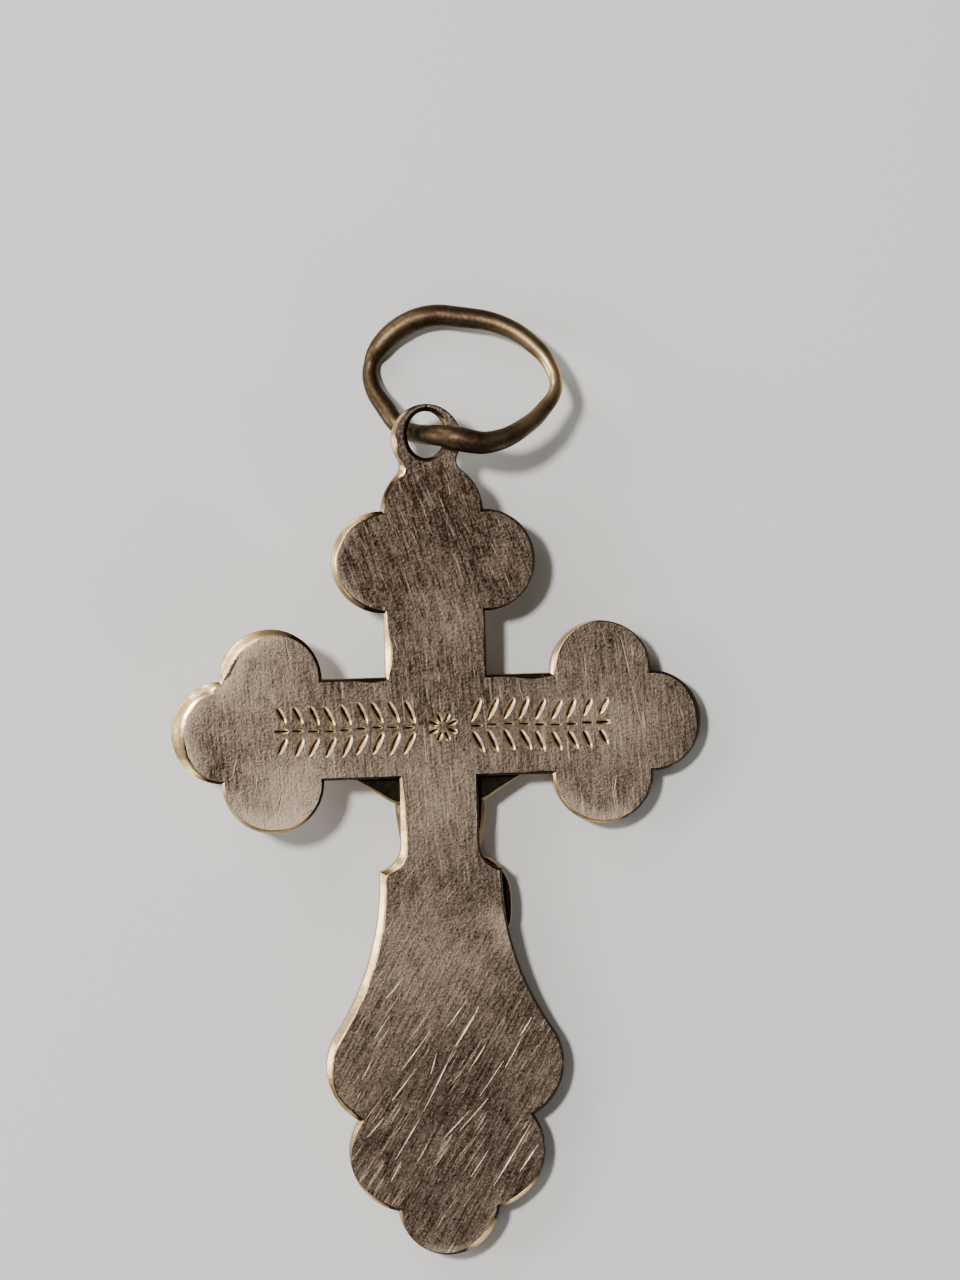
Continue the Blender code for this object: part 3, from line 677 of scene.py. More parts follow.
# %% Lay out the scratches
# Columns: x and y where it starts, x and y where it ends, width; the depth is a fifth of that
SCRATCHES = (
    (0.33, -12.91, 1.40, -11.20, 0.153), (-1.02, -15.52, 0.33, -12.91, 0.077),
    (-2.19, -17.37, -1.02, -15.52, 0.070), (-1.85, -13.77, -0.58, -12.14, 0.070),
    (0.85, -13.91, 1.62, -12.79, 0.070), (-2.28, -14.99, -1.17, -13.61, 0.062),
    (1.72, -18.64, 3.45, -15.91, 0.093), (2.81, -18.05, 3.67, -16.87, 0.070),
    (-0.33, -16.68, 0.94, -15.39, 0.070), (2.33, -13.85, 3.17, -12.40, 0.062),
    (2.95, -12.58, 3.50, -11.76, 0.085), (-2.37, -18.22, -1.91, -17.37, 0.077),
    (0.39, -16.33, 1.72, -14.91, 0.062), (-0.66, -13.96, -0.38, -13.04, 0.085),
    (-2.89, -12.45, -2.19, -11.42, 0.062), (0.04, -12.10, 0.90, -10.98, 0.062),
    (-2.42, -10.89, -1.56, -9.90, 0.054), (-3.43, -14.07, -2.98, -13.25, 0.070),
    (1.26, -14.96, 2.34, -13.45, 0.054), (-1.30, -17.51, -0.69, -16.48, 0.054),
    (0.84, -18.19, 1.63, -17.05, 0.054), (-3.27, -16.38, -2.54, -15.57, 0.062),
    (7.42, 3.51, 7.79, 1.78, 0.093), (7.79, 1.78, 8.55, -2.01, 0.062),
    (6.68, 3.65, 6.88, 2.98, 0.062), (7.15, -2.09, 7.01, -2.91, 0.070),
    (9.71, 0.73, 9.96, -0.18, 0.062), (-1.76, 3.69, -1.55, 3.10, 0.116),
    (-6.49, -3.26, -6.31, -2.49, 0.093), (-6.03, 3.64, -5.85, 2.70, 0.077),
    (-8.24, -1.64, -8.05, -0.74, 0.062), (-7.38, -2.46, -7.27, -1.40, 0.062),
    (0.43, 8.38, 0.87, 7.60, 0.093), (-1.47, 8.99, -1.02, 8.02, 0.070),
    (-0.33, 9.76, 0.12, 8.68, 0.062), (1.07, 8.36, 1.48, 7.71, 0.062),
    (-1.02, 8.05, -0.66, 7.34, 0.054), (0.63, 9.74, 0.72, 9.25, 0.054),
    (-2.97, 7.70, -2.67, 7.02, 0.062),
)
SCRATCH_DEPTH = 0.2

scratch = boat("scratch", 1.0, 1.0, SCRATCH_DEPTH)
open_up(scratch)
bpy.ops.mesh.select_all(action="SELECT")
bpy.ops.mesh.quads_convert_to_tris(quad_method="SHORTEST_DIAGONAL")
close_up()
scratch_cutters = []
for start_x, start_y, end_x, end_y, width in SCRATCHES:
    run = complex(end_x - start_x, end_y - start_y)
    item = copy_to(scratch, 0.0, 0.0, 0.0, abs(run), width)
    item.data.transform(Matrix.Diagonal((1.0, 1.0, width, 1.0)))
    middle = ((start_x + end_x) / 2.0 * MM, (start_y + end_y) / 2.0 * MM, 0.0)
    item.data.transform(Matrix.Translation(middle) @ Matrix.Rotation(cmath.phase(run), 4, "Z"))
    scratch_cutters.append(item)
bpy.data.objects.remove(scratch)
print("scratches:", len(scratch_cutters))

# %% [markdown]
# ## Colours and nodes
#
# Colours are picked by eye as sRGB hex values, the way a paint program shows them, and the shader
# wants them linear. `add` makes one node with its settings and its links.

# %% Colours are picked as sRGB hex values, the way a paint program shows them, and the shader
# wants them linear. `add` makes one node with its settings and its links.


def linear(hex_colour):
    """An sRGB hex colour as the linear red, green, blue and alpha that a shader takes."""
    parts = [int(hex_colour[k:k + 2], 16) / 255.0 for k in (1, 3, 5)]
    return tuple(c / 12.92 if c <= 0.04045 else ((c + 0.055) / 1.055) ** 2.4 for c in parts) + (1.0,)


def add(tree, kind, inputs=None, **settings):
    """One node with its settings; an input is a value or another node's socket."""
    node = tree.nodes.new(kind)
    for name, value in settings.items():
        setattr(node, name, value)
    for key, value in (inputs or {}).items():
        if isinstance(value, bpy.types.NodeSocket):
            tree.links.new(value, node.inputs[key])
        else:
            node.inputs[key].default_value = value
    return node


# %% [markdown]
# ## The metal
#
# The cross is a reddish gold alloy: gold with a good share of copper. Polished, it is a warm pale
# rose. Skin and air give it a thin brown film, and a brush or years in a drawer cover the flat back
# with fine parallel scratches, so it looks like dull brown satin that still flashes along single
# scratches. Where hands and cloth rub, at the edges, the film is gone and the metal is bright.
# So every metal here is one idea: patterns say how thick the film is at each place, and the colour
# and the gloss follow the film. Some patterns also paint light and shade: the film is made thinner
# where a highlight or sheen is painted, and thicker where shade is painted.

# %% What every metal here shares


def new_metal(name):
    """A metal, with its nodes, its shader and the place on the piece that its patterns read."""
    material = bpy.data.materials.new(name)
    material.use_nodes = True
    tree = material.node_tree
    shader = tree.nodes["Principled BSDF"]
    shader.inputs["Metallic"].default_value = 1.0
    return material, tree, shader, add(tree, "ShaderNodeTexCoord").outputs["Object"]


def clouds(tree, place, size, low, high, window=(0.35, 0.65), stretch=1.0, turned=0.0, shift=0.0):
    """A soft pattern from low to high with spots of a size in millimetres.

    A stretched pattern makes streaks, turned in degrees from the y axis. The window is the part of
    the noise that is used: a narrow one near the top leaves sparse, sharp spots.
    """
    sizes = (size * MM, size * MM * stretch, size * MM)
    turned_place = add(tree, "ShaderNodeMapping", {
        "Vector": place, "Location": (shift * MM, shift * MM, 0.0),
        "Rotation": (0.0, 0.0, math.radians(turned)), "Scale": sizes}, vector_type="TEXTURE")
    noise = add(tree, "ShaderNodeTexNoise", {"Vector": turned_place.outputs[0], "Scale": 1.0,
                                             "Detail": 4.0, "Roughness": 0.6})
    return add(tree, "ShaderNodeMapRange", {
        "Value": noise.outputs["Fac"], "From Min": window[0], "From Max": window[1],
        "To Min": low, "To Max": high}).outputs[0]


def reaching(tree, vector, direction, start, end, low, high):
    """A pattern from low to high as a place or a normal reaches further along a direction."""
    reach = add(tree, "ShaderNodeVectorMath", {0: vector, 1: direction}, operation="DOT_PRODUCT")
    return add(tree, "ShaderNodeMapRange", {
        "Value": reach.outputs["Value"], "From Min": start, "From Max": end, "To Min": low,
        "To Max": high}).outputs[0]


def by_depth(tree, place, start, end, low, high):
    """A pattern from low to high between two depths under the back, in millimetres."""
    return reaching(tree, place, back_normal, back_level - start * MM, back_level - end * MM, low, high)


def layered(tree, film, *layers):
    """A film with more layers, each a pattern and how much of it counts."""
    for pattern, share in layers:
        film = add(tree, "ShaderNodeMath", {0: pattern, 1: share, 2: film},
                   operation="MULTIPLY_ADD").outputs[0]
    return film


def film_over(tree, shader, film, bare, filmed, rough=None, thickest=1.0):
    """Let a metal's colour follow its film, and its roughness too where a pair is given."""
    share = add(tree, "ShaderNodeMapRange", {"Value": film, "From Max": thickest}).outputs[0]
    colour = add(tree, "ShaderNodeMix", {"Factor": share, "A": linear(bare), "B": linear(filmed)},
                 data_type="RGBA")
    tree.links.new(colour.outputs["Result"], shader.inputs["Base Color"])
    if rough:
        dullness = add(tree, "ShaderNodeMapRange", {"Value": share, "To Min": rough[0],
                                                    "To Max": rough[1]})
        tree.links.new(dullness.outputs[0], shader.inputs["Roughness"])


# %% [markdown]
# ## Where the film is worn, and where light is painted
#
# Nobody wears a pendant evenly. The film thins round a few places that fingers and cloth find, and
# it goes altogether towards the rims of the buds. A painter would dab those places in, and two short
# tables do the same: soft round spots, and crescents along a bud's rim. The tables paint light too: a
# painted sheen, paler across the left arm and darker over the trefoil, and crescents only on the
# buds' lit side, as painted highlights.

# %% Soft spots and crescents
# Columns: x, y and reach of a spot, and how much thinner the film is; below nothing, it is thicker
# Most spots paint the broad sheen of a light mirrored across the back, paler on the left arm and darker on
# the trefoil; the two small spots on the right of the foot are wear.
WEAR_AND_SHEEN_ON_BACK = (
    (-5.8, -3.0, 3.2, 0.58), (-7.6, 1.6, 3.6, 0.18), (0.2, -3.0, 4.2, 0.22), (6.8, -0.6, 4.6, 0.24),
    (2.2, -7.8, 0.9, 0.34), (2.5, -8.7, 0.8, 0.34), (0.0, -9.6, 4.0, 0.20), (0.3, 4.0, 2.4, 0.15),
    (0.0, 8.3, 6.5, -0.20), (0.0, -18.0, 7.0, -0.06),
)
# Columns: x and y of a bud, the heading of its worn, lit side in degrees, how far in, how much
WORN_AND_LIT_CRESCENTS = (
    (-8.60, 0.0, 180, 1.20, 0.95), (-6.64, 2.04, 135, 1.10, 0.85), (-6.64, -2.04, 250, 1.10, 0.55),
    (6.64, -2.04, 250, 0.95, 0.60), (-2.04, 6.64, 185, 0.60, 0.45), (0.0, -19.2, 300, 0.60, 0.40),
)
CRESCENT_ENDS = (0.30, 0.80)


def thinned(tree, place, film, spots):
    """A film made thinner in soft spots, for wear and for painted sheen: x, y, reach and how much thinner.
    """
    for x, y, reach, thinner in spots:
        middle = lie @ (Vector((x, y, 0.0)) * MM)
        away = add(tree, "ShaderNodeVectorMath", {0: place, 1: middle}, operation="DISTANCE")
        spot = add(tree, "ShaderNodeMapRange", {
            "Value": away.outputs["Value"], "From Min": 0.0, "From Max": reach * MM, "To Min": -thinner,
            "To Max": 0.0}, interpolation_type="SMOOTHSTEP").outputs[0]
        film = layered(tree, film, (spot, 1.0))
    return film


def rims_worn_and_lit(tree, place, film, crescents):
    """A film thinned towards the rim of round buds, on the lit side that a heading points to: wear and a
    painted highlight.
    """
    for x, y, heading, inwards, thinner in crescents:
        middle = lie @ (Vector((x, y, 0.0)) * MM)
        heading = math.radians(heading)
        ahead = lie.to_3x3() @ Vector((math.cos(heading), math.sin(heading), 0.0))
        arm = add(tree, "ShaderNodeVectorMath", {0: place, 1: middle}, operation="SUBTRACT").outputs[0]
        away = add(tree, "ShaderNodeVectorMath", {0: arm}, operation="LENGTH").outputs["Value"]
        unit = add(tree, "ShaderNodeVectorMath", {0: arm}, operation="NORMALIZE").outputs[0]
        past_rim = layered(tree, away, (-BUD_RADIUS * MM, 1.0))
        from_rim = add(tree, "ShaderNodeMath", {0: past_rim}, operation="ABSOLUTE").outputs[0]
        near = add(tree, "ShaderNodeMapRange", {
            "Value": from_rim, "From Min": inwards * MM, "From Max": 0.0, "To Max": -thinner},
            interpolation_type="SMOOTHSTEP").outputs[0]
        film = layered(tree, film, (near, reaching(tree, unit, ahead, *CRESCENT_ENDS, 0.0, 1.0)))
    return film


print("worn spots and crescents on the back:", len(WEAR_AND_SHEEN_ON_BACK), "and", len(WORN_AND_LIT_CRESCENTS))

# %% [markdown]
# ## The back, brushed
#
# A brush draws fine scratches all one way, and this back was brushed more than once. They lean left
# at the top, stand upright across the arms and lean right on the foot, and a few long ones run
# among them. Noise that is stretched along the strokes gives them, one layer for each way, and the
# layers hand over to one another at two heights. The real scratches are finer than a pixel of the
# photograph, so they are drawn as coarse as they need to be to show.

# %% Brush the back three ways
BRUSH_PITCH = 0.10
BRUSH_STRETCH = 13.0
LONE_PITCH = 0.12
LONE_STRETCH = 26.0
LONE_WINDOW = (0.63, 0.68)
LONE_TURN = 1.2
LONE_SHIFT = 9.0

# Columns: lean in degrees, and the heights in millimetres between which this way takes over
BRUSH_WAYS = ((4.0, None, None), (17.0, 2.5, 5.5), (-30.0, -4.0, -9.0))

back_metal, tree, shader, place = new_metal("brushed_rose_gold")
height = add(tree, "ShaderNodeSeparateXYZ", {"Vector": place}).outputs["Y"]
for lean, start, end in BRUSH_WAYS:
    fine = clouds(tree, place, BRUSH_PITCH, 0.0, 1.0, stretch=BRUSH_STRETCH, turned=lean, shift=lean)
    lone = clouds(tree, place, LONE_PITCH, 0.0, 1.0, LONE_WINDOW, LONE_STRETCH, lean * LONE_TURN,
                  LONE_SHIFT + lean)
    if start is None:
        brush, sparse = fine, lone
        continue
    share = add(tree, "ShaderNodeMapRange", {
        "Value": height, "From Min": crossing.y + start * MM,
        "From Max": crossing.y + end * MM}).outputs[0]
    brush = add(tree, "ShaderNodeMix", {"Factor": share, "A": brush, "B": fine}).outputs[0]
    sparse = add(tree, "ShaderNodeMix", {"Factor": share, "A": sparse, "B": lone}).outputs[0]
print("ways of the brush:", len(BRUSH_WAYS))

# %% [markdown]
# ## The back, filmed over
#
# The brown film is patchy, thinner or thicker in the places of the tables, which hold wear and
# painted sheen, grainy everywhere, dotted with dark pits, and thin along the scratches. Thick, it
# is dark and lies in a closed, slightly shining skin. Thin, the matt scratched gold shines through.
# So the eye sees brown satin with paler clouds, some of them painted light.

# %% Film over the back
ROSE_GOLD = "#d2bba2"
DEEP_FILM = "#402e22"
THICKEST_FILM = 1.10
BRUSH_CONTRAST = 0.28
SCRATCH_CONTRAST = 0.42
GRAIN_CONTRAST = 0.12
BACK_ROUGHNESS = (0.64, 0.37)
BACK_RELIEF = 0.003

# A pattern's size in millimetres, its least and its most
PATCHES = (3.4, 0.86, 1.02)
MOTTLING = (0.55, -0.06, 0.06)
GRAIN = (0.11, -1.0, 1.0, (0.36, 0.64))
PITS = (0.11, 0.0, 0.40, (0.60, 0.70))

grain = clouds(tree, place, *GRAIN)
# The spots and crescents give wear, and also paint a sheen and highlights on the lit side.
film = thinned(tree, place, clouds(tree, place, *PATCHES), WEAR_AND_SHEEN_ON_BACK)
film = rims_worn_and_lit(tree, place, film, WORN_AND_LIT_CRESCENTS)
film = layered(tree, film, (grain, GRAIN_CONTRAST), (clouds(tree, place, *MOTTLING), 1.0),
               (brush, -BRUSH_CONTRAST), (sparse, -SCRATCH_CONTRAST),
               (clouds(tree, place, *PITS, shift=3.0), 1.0))
film_over(tree, shader, film, ROSE_GOLD, DEEP_FILM, BACK_ROUGHNESS, THICKEST_FILM)
bump = add(tree, "ShaderNodeBump", {"Height": layered(tree, grain, (brush, -1.0), (sparse, -1.0)),
                                    "Strength": 1.0, "Distance": BACK_RELIEF * MM})
tree.links.new(bump.outputs[0], shader.inputs["Normal"])
print("nodes of the back:", len(tree.nodes))

# %% [markdown]
# ## The edges
#
# The worn edges are smooth rubbed gold, the warmest and brightest part of the cross. A rule by
# the way the surface faces paints light on them: bare gold on the left side, a painted highlight
# like a thin lit line, and dark film on the right side, painted shade. The foot of the wall keeps
# its film, and the front's rim, which slides on cloth, is rubbed too.

# %% Painted highlight on the left, rubbed on the front's rim, painted shade on the right
RUBBED_GOLD = "#eac690"
DARK_FILM = "#33261c"
# Painted light: the film thins on faces turned towards the lit side and thickens away from it
LIT_SIDE = (-0.95, 0.15, 0.0)
LIT_RANGE = (0.10, 0.38, 1.0, 0.0)
FRONT_RUB = (0.40, 0.95, 0.0, -1.15)
WALL_FILM = (0.25, 0.75, 0.0, 0.55)
EDGE_ROUGHNESS = (0.30, 0.44)
EDGE_PATCHES = (1.6, -0.10, 0.30)
EDGE_GRAIN = (0.20, -0.05, 0.10)
NICKS = (0.35, 0.0, 1.0)
NICK_DEPTH = 0.008

# Spots of wear, and of painted light: bare glints at the buds and the tip, a painted highlight in the hole,
# and thick film where the eyelet, the trefoil and the foot's left lobes are painted dark
# Columns: as for the back
WEAR_AND_SHEEN_ON_EDGE = (
    (-9.8, -1.6, 1.3, 0.60), (0.0, 12.0, 2.6, -1.00), (0.0, 8.2, 4.2, -0.45), (-1.7, 9.6, 1.5, -0.80),
    (-1.52, 11.35, 0.45, 1.50), (-1.10, 10.15, 0.35, 1.60), (-4.7, -14.7, 1.1, -0.70),
    (-4.0, -17.4, 1.9, -0.80), (-1.6, -20.4, 1.2, -0.70), (0.62, 12.2, 0.55, 1.60),
    (-7.2, 4.1, 2.0, 1.40), (-10.2, 1.2, 2.2, 1.40), (-6.8, -4.0, 2.4, 0.90), (6.0, -4.0, 2.4, 0.90),
    (2.9, -18.9, 1.2, 1.60), (1.5, -20.8, 1.3, 1.60),
)

edge_metal, tree, shader, place = new_metal("rubbed_and_painted_lit_edge")
facing = add(tree, "ShaderNodeTexCoord").outputs["Normal"]
# Painted highlight and shade by facing, the rubbed front rim, film at the wall's foot, then the spots
film = layered(tree, reaching(tree, facing, LIT_SIDE, *LIT_RANGE),
               (reaching(tree, facing, (0.0, 0.0, -1.0), *FRONT_RUB), 1.0),
               (by_depth(tree, place, *WALL_FILM), 1.0), (clouds(tree, place, *EDGE_PATCHES), 1.0))
film = layered(tree, thinned(tree, place, film, WEAR_AND_SHEEN_ON_EDGE), (clouds(tree, place, *EDGE_GRAIN), 1.0))
film_over(tree, shader, film, RUBBED_GOLD, DARK_FILM, EDGE_ROUGHNESS)
bump = add(tree, "ShaderNodeBump", {"Height": clouds(tree, place, *NICKS), "Strength": 0.6,
                                    "Distance": NICK_DEPTH * MM})
tree.links.new(bump.outputs[0], shader.inputs["Normal"])
print("nodes of the edges:", len(tree.nodes))

# %% [markdown]
# ## The graver's cuts
#
# A graver's polished tip leaves facets that shine like a mirror, the palest gold on the cross. Each
# cut has a dark brown keel between two bright walls: grime that skin and dust pack into the bottom
# of the V, and painted shade of the groove. The brown follows the depth below the back.

# %% Bright cuts with grime and painted shade along the keel
CUT_GOLD = "#f2dab0"
CUT_GRIME_AND_SHADE = "#4a3424"
GRIME_AND_SHADE_IN_CUTS = (0.048, 0.085, 0.0, 0.90)
CUT_PATCHES = (0.25, -0.10, 0.35)

cut_metal, tree, shader, place = new_metal("bright_cut_gold")
film = layered(tree, by_depth(tree, place, *GRIME_AND_SHADE_IN_CUTS), (clouds(tree, place, *CUT_PATCHES), 1.0))
film_over(tree, shader, film, CUT_GOLD, CUT_GRIME_AND_SHADE)
shader.inputs["Roughness"].default_value = 0.36
print("nodes of the cuts:", len(tree.nodes))

# %% [markdown]
# ## The scratches
#
# A scratch lays the gold bare, and in some years it dulls again. So the long scratches are a mix of
# pale rose gold and the film's brown, in short stretches along each one.

# %% Scratched gold, dulled again
FILM_BROWN = "#5b4b3e"
SCRATCH_PATCHES = (0.6, 0.15, 0.85)

scratch_metal, tree, shader, place = new_metal("scratched_gold")
film_over(tree, shader, clouds(tree, place, *SCRATCH_PATCHES), ROSE_GOLD, FILM_BROWN)
shader.inputs["Roughness"].default_value = 0.48
print("nodes of the scratches:", len(tree.nodes))

# %% [markdown]
# ## The sunk field
#
# The field was never polished. It keeps the skin of the casting, with the fine grain of the mould's
# sand or plaster, dull and half brown. A fine relief takes the shine off it.

# %% Cast gold of the field
FIELD_PATCHES = (1.8, 0.25, 0.65)
FIELD_GRAIN = (0.09, -0.15, 0.15)
SAND = (0.07, 0.0, 1.0)
SAND_DEPTH = 0.006

field_metal, tree, shader, place = new_metal("cast_gold_field")
film = layered(tree, clouds(tree, place, *FIELD_PATCHES), (clouds(tree, place, *FIELD_GRAIN), 1.0))
film_over(tree, shader, film, ROSE_GOLD, DARK_FILM)
shader.inputs["Roughness"].default_value = 0.46
bump = add(tree, "ShaderNodeBump", {"Height": clouds(tree, place, *SAND), "Strength": 0.8,
                                    "Distance": SAND_DEPTH * MM})
tree.links.new(bump.outputs[0], shader.inputs["Normal"])
print("nodes of the field:", len(tree.nodes))

# %% [markdown]
# ## The figure's gold, front and rear
#
# Cloth rubs the high places of the figure bright. Low ones, and the strokes that a tool pressed in,
# stay brown, which makes the form easy to read. The carving leaves its depth on the mesh as an
# attribute, so the brown finds every stroke. The rear of the figure is painted nearly black: cast
# skin that no polisher reached, and painted shade, since the few slivers of it that show beside the
# cross lie in the plate's shadow.

# %% Cast gold of the figure
LOW_PLACES = (1.75, 0.85, 0.08, 0.66)
DEEPEST_STROKE = 0.08
STROKE_FILM = 0.55
FIGURE_PATCHES = (0.9, -0.06, 0.16)
FIGURE_ROUGHNESS = (0.28, 0.50)
REAR_SKIN_AND_SHADE = "#1c1611"
REAR_PATCHES = (0.5, 0.82, 1.0)

figure_metal, tree, shader, place = new_metal("cast_gold_figure")
pressed = add(tree, "ShaderNodeAttribute", attribute_name="pressed").outputs["Fac"]
grime = add(tree, "ShaderNodeMapRange", {"Value": pressed, "From Min": 0.0, "From Max": DEEPEST_STROKE,
                                         "To Min": 0.0, "To Max": STROKE_FILM}).outputs[0]
film = layered(tree, by_depth(tree, place, *LOW_PLACES), (grime, 1.0),
               (clouds(tree, place, *FIGURE_PATCHES), 1.0))
film_over(tree, shader, film, RUBBED_GOLD, DARK_FILM, FIGURE_ROUGHNESS)
print("nodes of the figure:", len(tree.nodes))

# The rear: dark cast skin with painted shade
rear_metal, tree, shader, place = new_metal("dark_cast_skin_and_painted_shade")
film_over(tree, shader, clouds(tree, place, *REAR_PATCHES), FILM_BROWN, REAR_SKIN_AND_SHADE)
shader.inputs["Roughness"].default_value = 0.62
print("nodes of the rear:", len(tree.nodes))

# %% [markdown]
# ## The wire
#
# Drawn wire leaves the draw plate smooth and shining. This one is darker than the cross, because
# its film was never brushed, and it has small dents. A table of spots, as on the back, paints its
# light: thinner film for painted highlights on the right, the left and the lower right, and thicker
# film where its shine is painted dull, along the top and the bottom.

# %% Drawn gold wire
WIRE_PATCHES = (1.2, 0.91, 0.96)
WIRE_GRAIN = (0.15, -0.02, 0.02)
WIRE_ROUGHNESS = (0.28, 0.44)
DENTS = (0.30, 0.0, 1.0)
DENT_DEPTH = 0.005

# Painted highlights and painted dullness along the wire
# Columns: as for the back
PAINTED_SHEEN_ON_WIRE = (
    (4.9, 13.9, 1.5, 0.66), (3.9, 12.3, 1.3, 0.32), (3.9, 15.6, 1.5, 0.16), (0.9, 16.6, 3.4, -0.10),
    (1.6, 11.0, 2.4, -0.08), (-1.6, 16.0, 1.8, -0.05), (-2.8, 14.0, 1.5, 0.60), (-2.1, 12.6, 1.2, 0.35),
)

wire_metal, tree, shader, place = new_metal("drawn_gold_wire")
film = thinned(tree, place, clouds(tree, place, *WIRE_PATCHES), PAINTED_SHEEN_ON_WIRE)
film = layered(tree, film, (clouds(tree, place, *WIRE_GRAIN), 1.0))
film_over(tree, shader, film, RUBBED_GOLD, DARK_FILM, WIRE_ROUGHNESS)
bump = add(tree, "ShaderNodeBump", {"Height": clouds(tree, place, *DENTS), "Strength": 0.5,
                                    "Distance": DENT_DEPTH * MM})
tree.links.new(bump.outputs[0], shader.inputs["Normal"])
print("nodes of the wire:", len(tree.nodes))

# %% [markdown]
# ## The plate gets its cuts and its metals
#
# The boats are taken out of the back last, when nothing else will move its points. Each cut is one
# Boolean with all of its boats, and the faces that it leaves carry the number of their metal. The
# back and the edges are smooth to the eye but end in sharp lines, so the shading is broken where
# the metal changes.

# %% Cut the band and the scratches, and give the plate its metals
cut(plate, join(cutters, "engraving"), CUTS, crossing_parts=True)
cut(plate, join(scratch_cutters, "scratches"), SCRAPES, crossing_parts=True)
for number, metal in enumerate((back_metal, edge_metal, field_metal, cut_metal, scratch_metal)):
    plate.data.materials[number] = metal
print("metals on the plate:", [metal.name for metal in plate.data.materials])

# %% Shade the plate
PLATE_CREASE = math.radians(28)

choose(plate)
bpy.ops.object.shade_smooth_by_angle(angle=PLATE_CREASE)
open_up(plate, "FACE")
mesh = bmesh.from_edit_mesh(plate.data)
for edge in mesh.edges:
    metals = {face.material_index for face in edge.link_faces}
    if len(metals) > 1:
        edge.smooth = False
for face in mesh.faces:
    if abs(face.normal.z) > LEVEL:
        face.smooth = False
bmesh.update_edit_mesh(plate.data)
close_up()
lay_down(plate)
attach(plate, "root")
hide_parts("cross")

# %% [markdown]
# ## The ring
#
# The ring is a piece of gold wire, bent by hand into an oval and soldered shut. It comes up through
# the eyelet's hole over its right wall, and goes down under its left wall. It is drawn as a curve
# through a few knots, whose heights follow from the eyelet, and the curve's own bevel gives it the
# wire's thickness.

# %% Thread the wire through the eyelet
WIRE_RADIUS = 0.33
WIRE_FLATNESS = 0.74
RING_LENGTH = 7.46
RING_WIDTH = 5.19
RING_GAP = 0.17
SECTION_STEPS = 7
KNOT_STEPS = 12

# Columns: along and across the ring from the hole, as shares of its length and width; how much of
# the height is that of the wire under the eyelet and over it, the rest lying on the floor; and the
# width of the wire, which is worn thin on the left and right and pressed wide by the eyelet.
RING_ROUTE = (
    (0.000, 0.000, 0.50, 0.50, 0.80), (0.062, -0.012, 0.17, 0.83, 0.84),
    (0.115, -0.026, 0.02, 0.98, 0.90), (0.180, -0.050, 0.00, 1.04, 1.00),
    (0.350, -0.078, 0.00, 1.04, 0.88), (0.560, 0.064, 0.00, 0.92, 0.70),
    (0.643, 0.182, 0.00, 0.82, 0.62), (0.696, 0.290, 0.00, 0.74, 0.54),
    (0.706, 0.375, 0.00, 0.66, 0.53), (0.678, 0.515, 0.00, 0.56, 0.58),
    (0.602, 0.664, 0.00, 0.46, 0.70), (0.428, 0.840, 0.00, 0.30, 0.78),
    (0.204, 0.918, 0.00, 0.16, 0.86), (0.022, 0.933, 0.00, 0.08, 0.90),
    (-0.130, 0.846, 0.00, 0.02, 0.94), (-0.242, 0.700, 0.00, 0.00, 0.84),
    (-0.288, 0.580, 0.00, 0.00, 0.60), (-0.288, 0.428, 0.16, 0.00, 0.66),
    (-0.205, 0.205, 0.76, 0.00, 0.78), (-0.150, 0.088, 1.02, 0.00, 0.72),
    (-0.115, 0.050, 0.98, 0.02, 0.72), (-0.062, 0.020, 0.83, 0.17, 0.76),
)


def laid(x, y, z):
    """Where a place of the flat drawing, in millimetres, comes to lie."""
    return lie @ Vector((x * MM, y * MM, z * MM))


hole = laid(hole_middle.real, hole_middle.imag, -EYELET_DEPTH / 2.0)
right_top = laid(hole_middle.real + HOLE_WIDTH / 2.0, hole_middle.imag, -EYELET_SINK).z
left_bottom = laid(hole_middle.real - HOLE_WIDTH / 2.0, hole_middle.imag, -EYELET_DEPTH).z
over = right_top + (RING_GAP + WIRE_RADIUS) * MM
under = left_bottom - (RING_GAP + WIRE_RADIUS) * MM

deselect()
bpy.ops.curve.primitive_bezier_circle_add(radius=MM / 2.0)
section = bpy.context.object
section.data.resolution_u = SECTION_STEPS
section.scale = (1.0, WIRE_FLATNESS, 1.0)
bpy.ops.object.transform_apply(location=False, rotation=False, scale=True)

deselect()
bpy.ops.curve.primitive_bezier_circle_add(radius=MM)
ring = bpy.context.object
ring.name = "wire_ring"
curve = ring.data
curve.dimensions = "3D"
spline = curve.splines[0]
spline.bezier_points.add(len(RING_ROUTE) - len(spline.bezier_points))
for knot, (along, across, below, above, width) in zip(spline.bezier_points, RING_ROUTE):
    lying = width * WIRE_FLATNESS / 2.0 * MM
    level = (1.0 - below - above) * lying + below * under + above * over
    knot.co = (hole.x + along * RING_LENGTH * MM, hole.y + across * RING_WIDTH * MM, level)
    knot.radius = width
    knot.handle_left_type = "AUTO"
    knot.handle_right_type = "AUTO"
curve.twist_mode = "Z_UP"
curve.resolution_u = KNOT_STEPS
curve.bevel_mode = "OBJECT"
curve.bevel_object = section
choose(ring)
bpy.ops.object.convert(target="MESH")
ring = bpy.context.object
bpy.data.objects.remove(section)
bpy.ops.object.shade_smooth()
ring.data.materials.clear()
ring.data.materials.append(wire_metal)
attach(ring, "root")
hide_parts("bail_ring")
print("faces of the ring:", len(ring.data.polygons))

# %% [markdown]
# ## The figure on the front
#
# The figure is cast with the cross or soldered to it: a body that stands out from the sunk field by
# about a millimetre, with no undercuts, because it had to leave its mould. A sculptor would set
# down the large masses first and carve the detail into them. So each mass is a ladder of arches
# along a short table, a voxel remesh melts the masses into one skin, and strokes carve it.
# The body's proportions are the usual ones of an anatomy book, and the face is a plain, calm one.

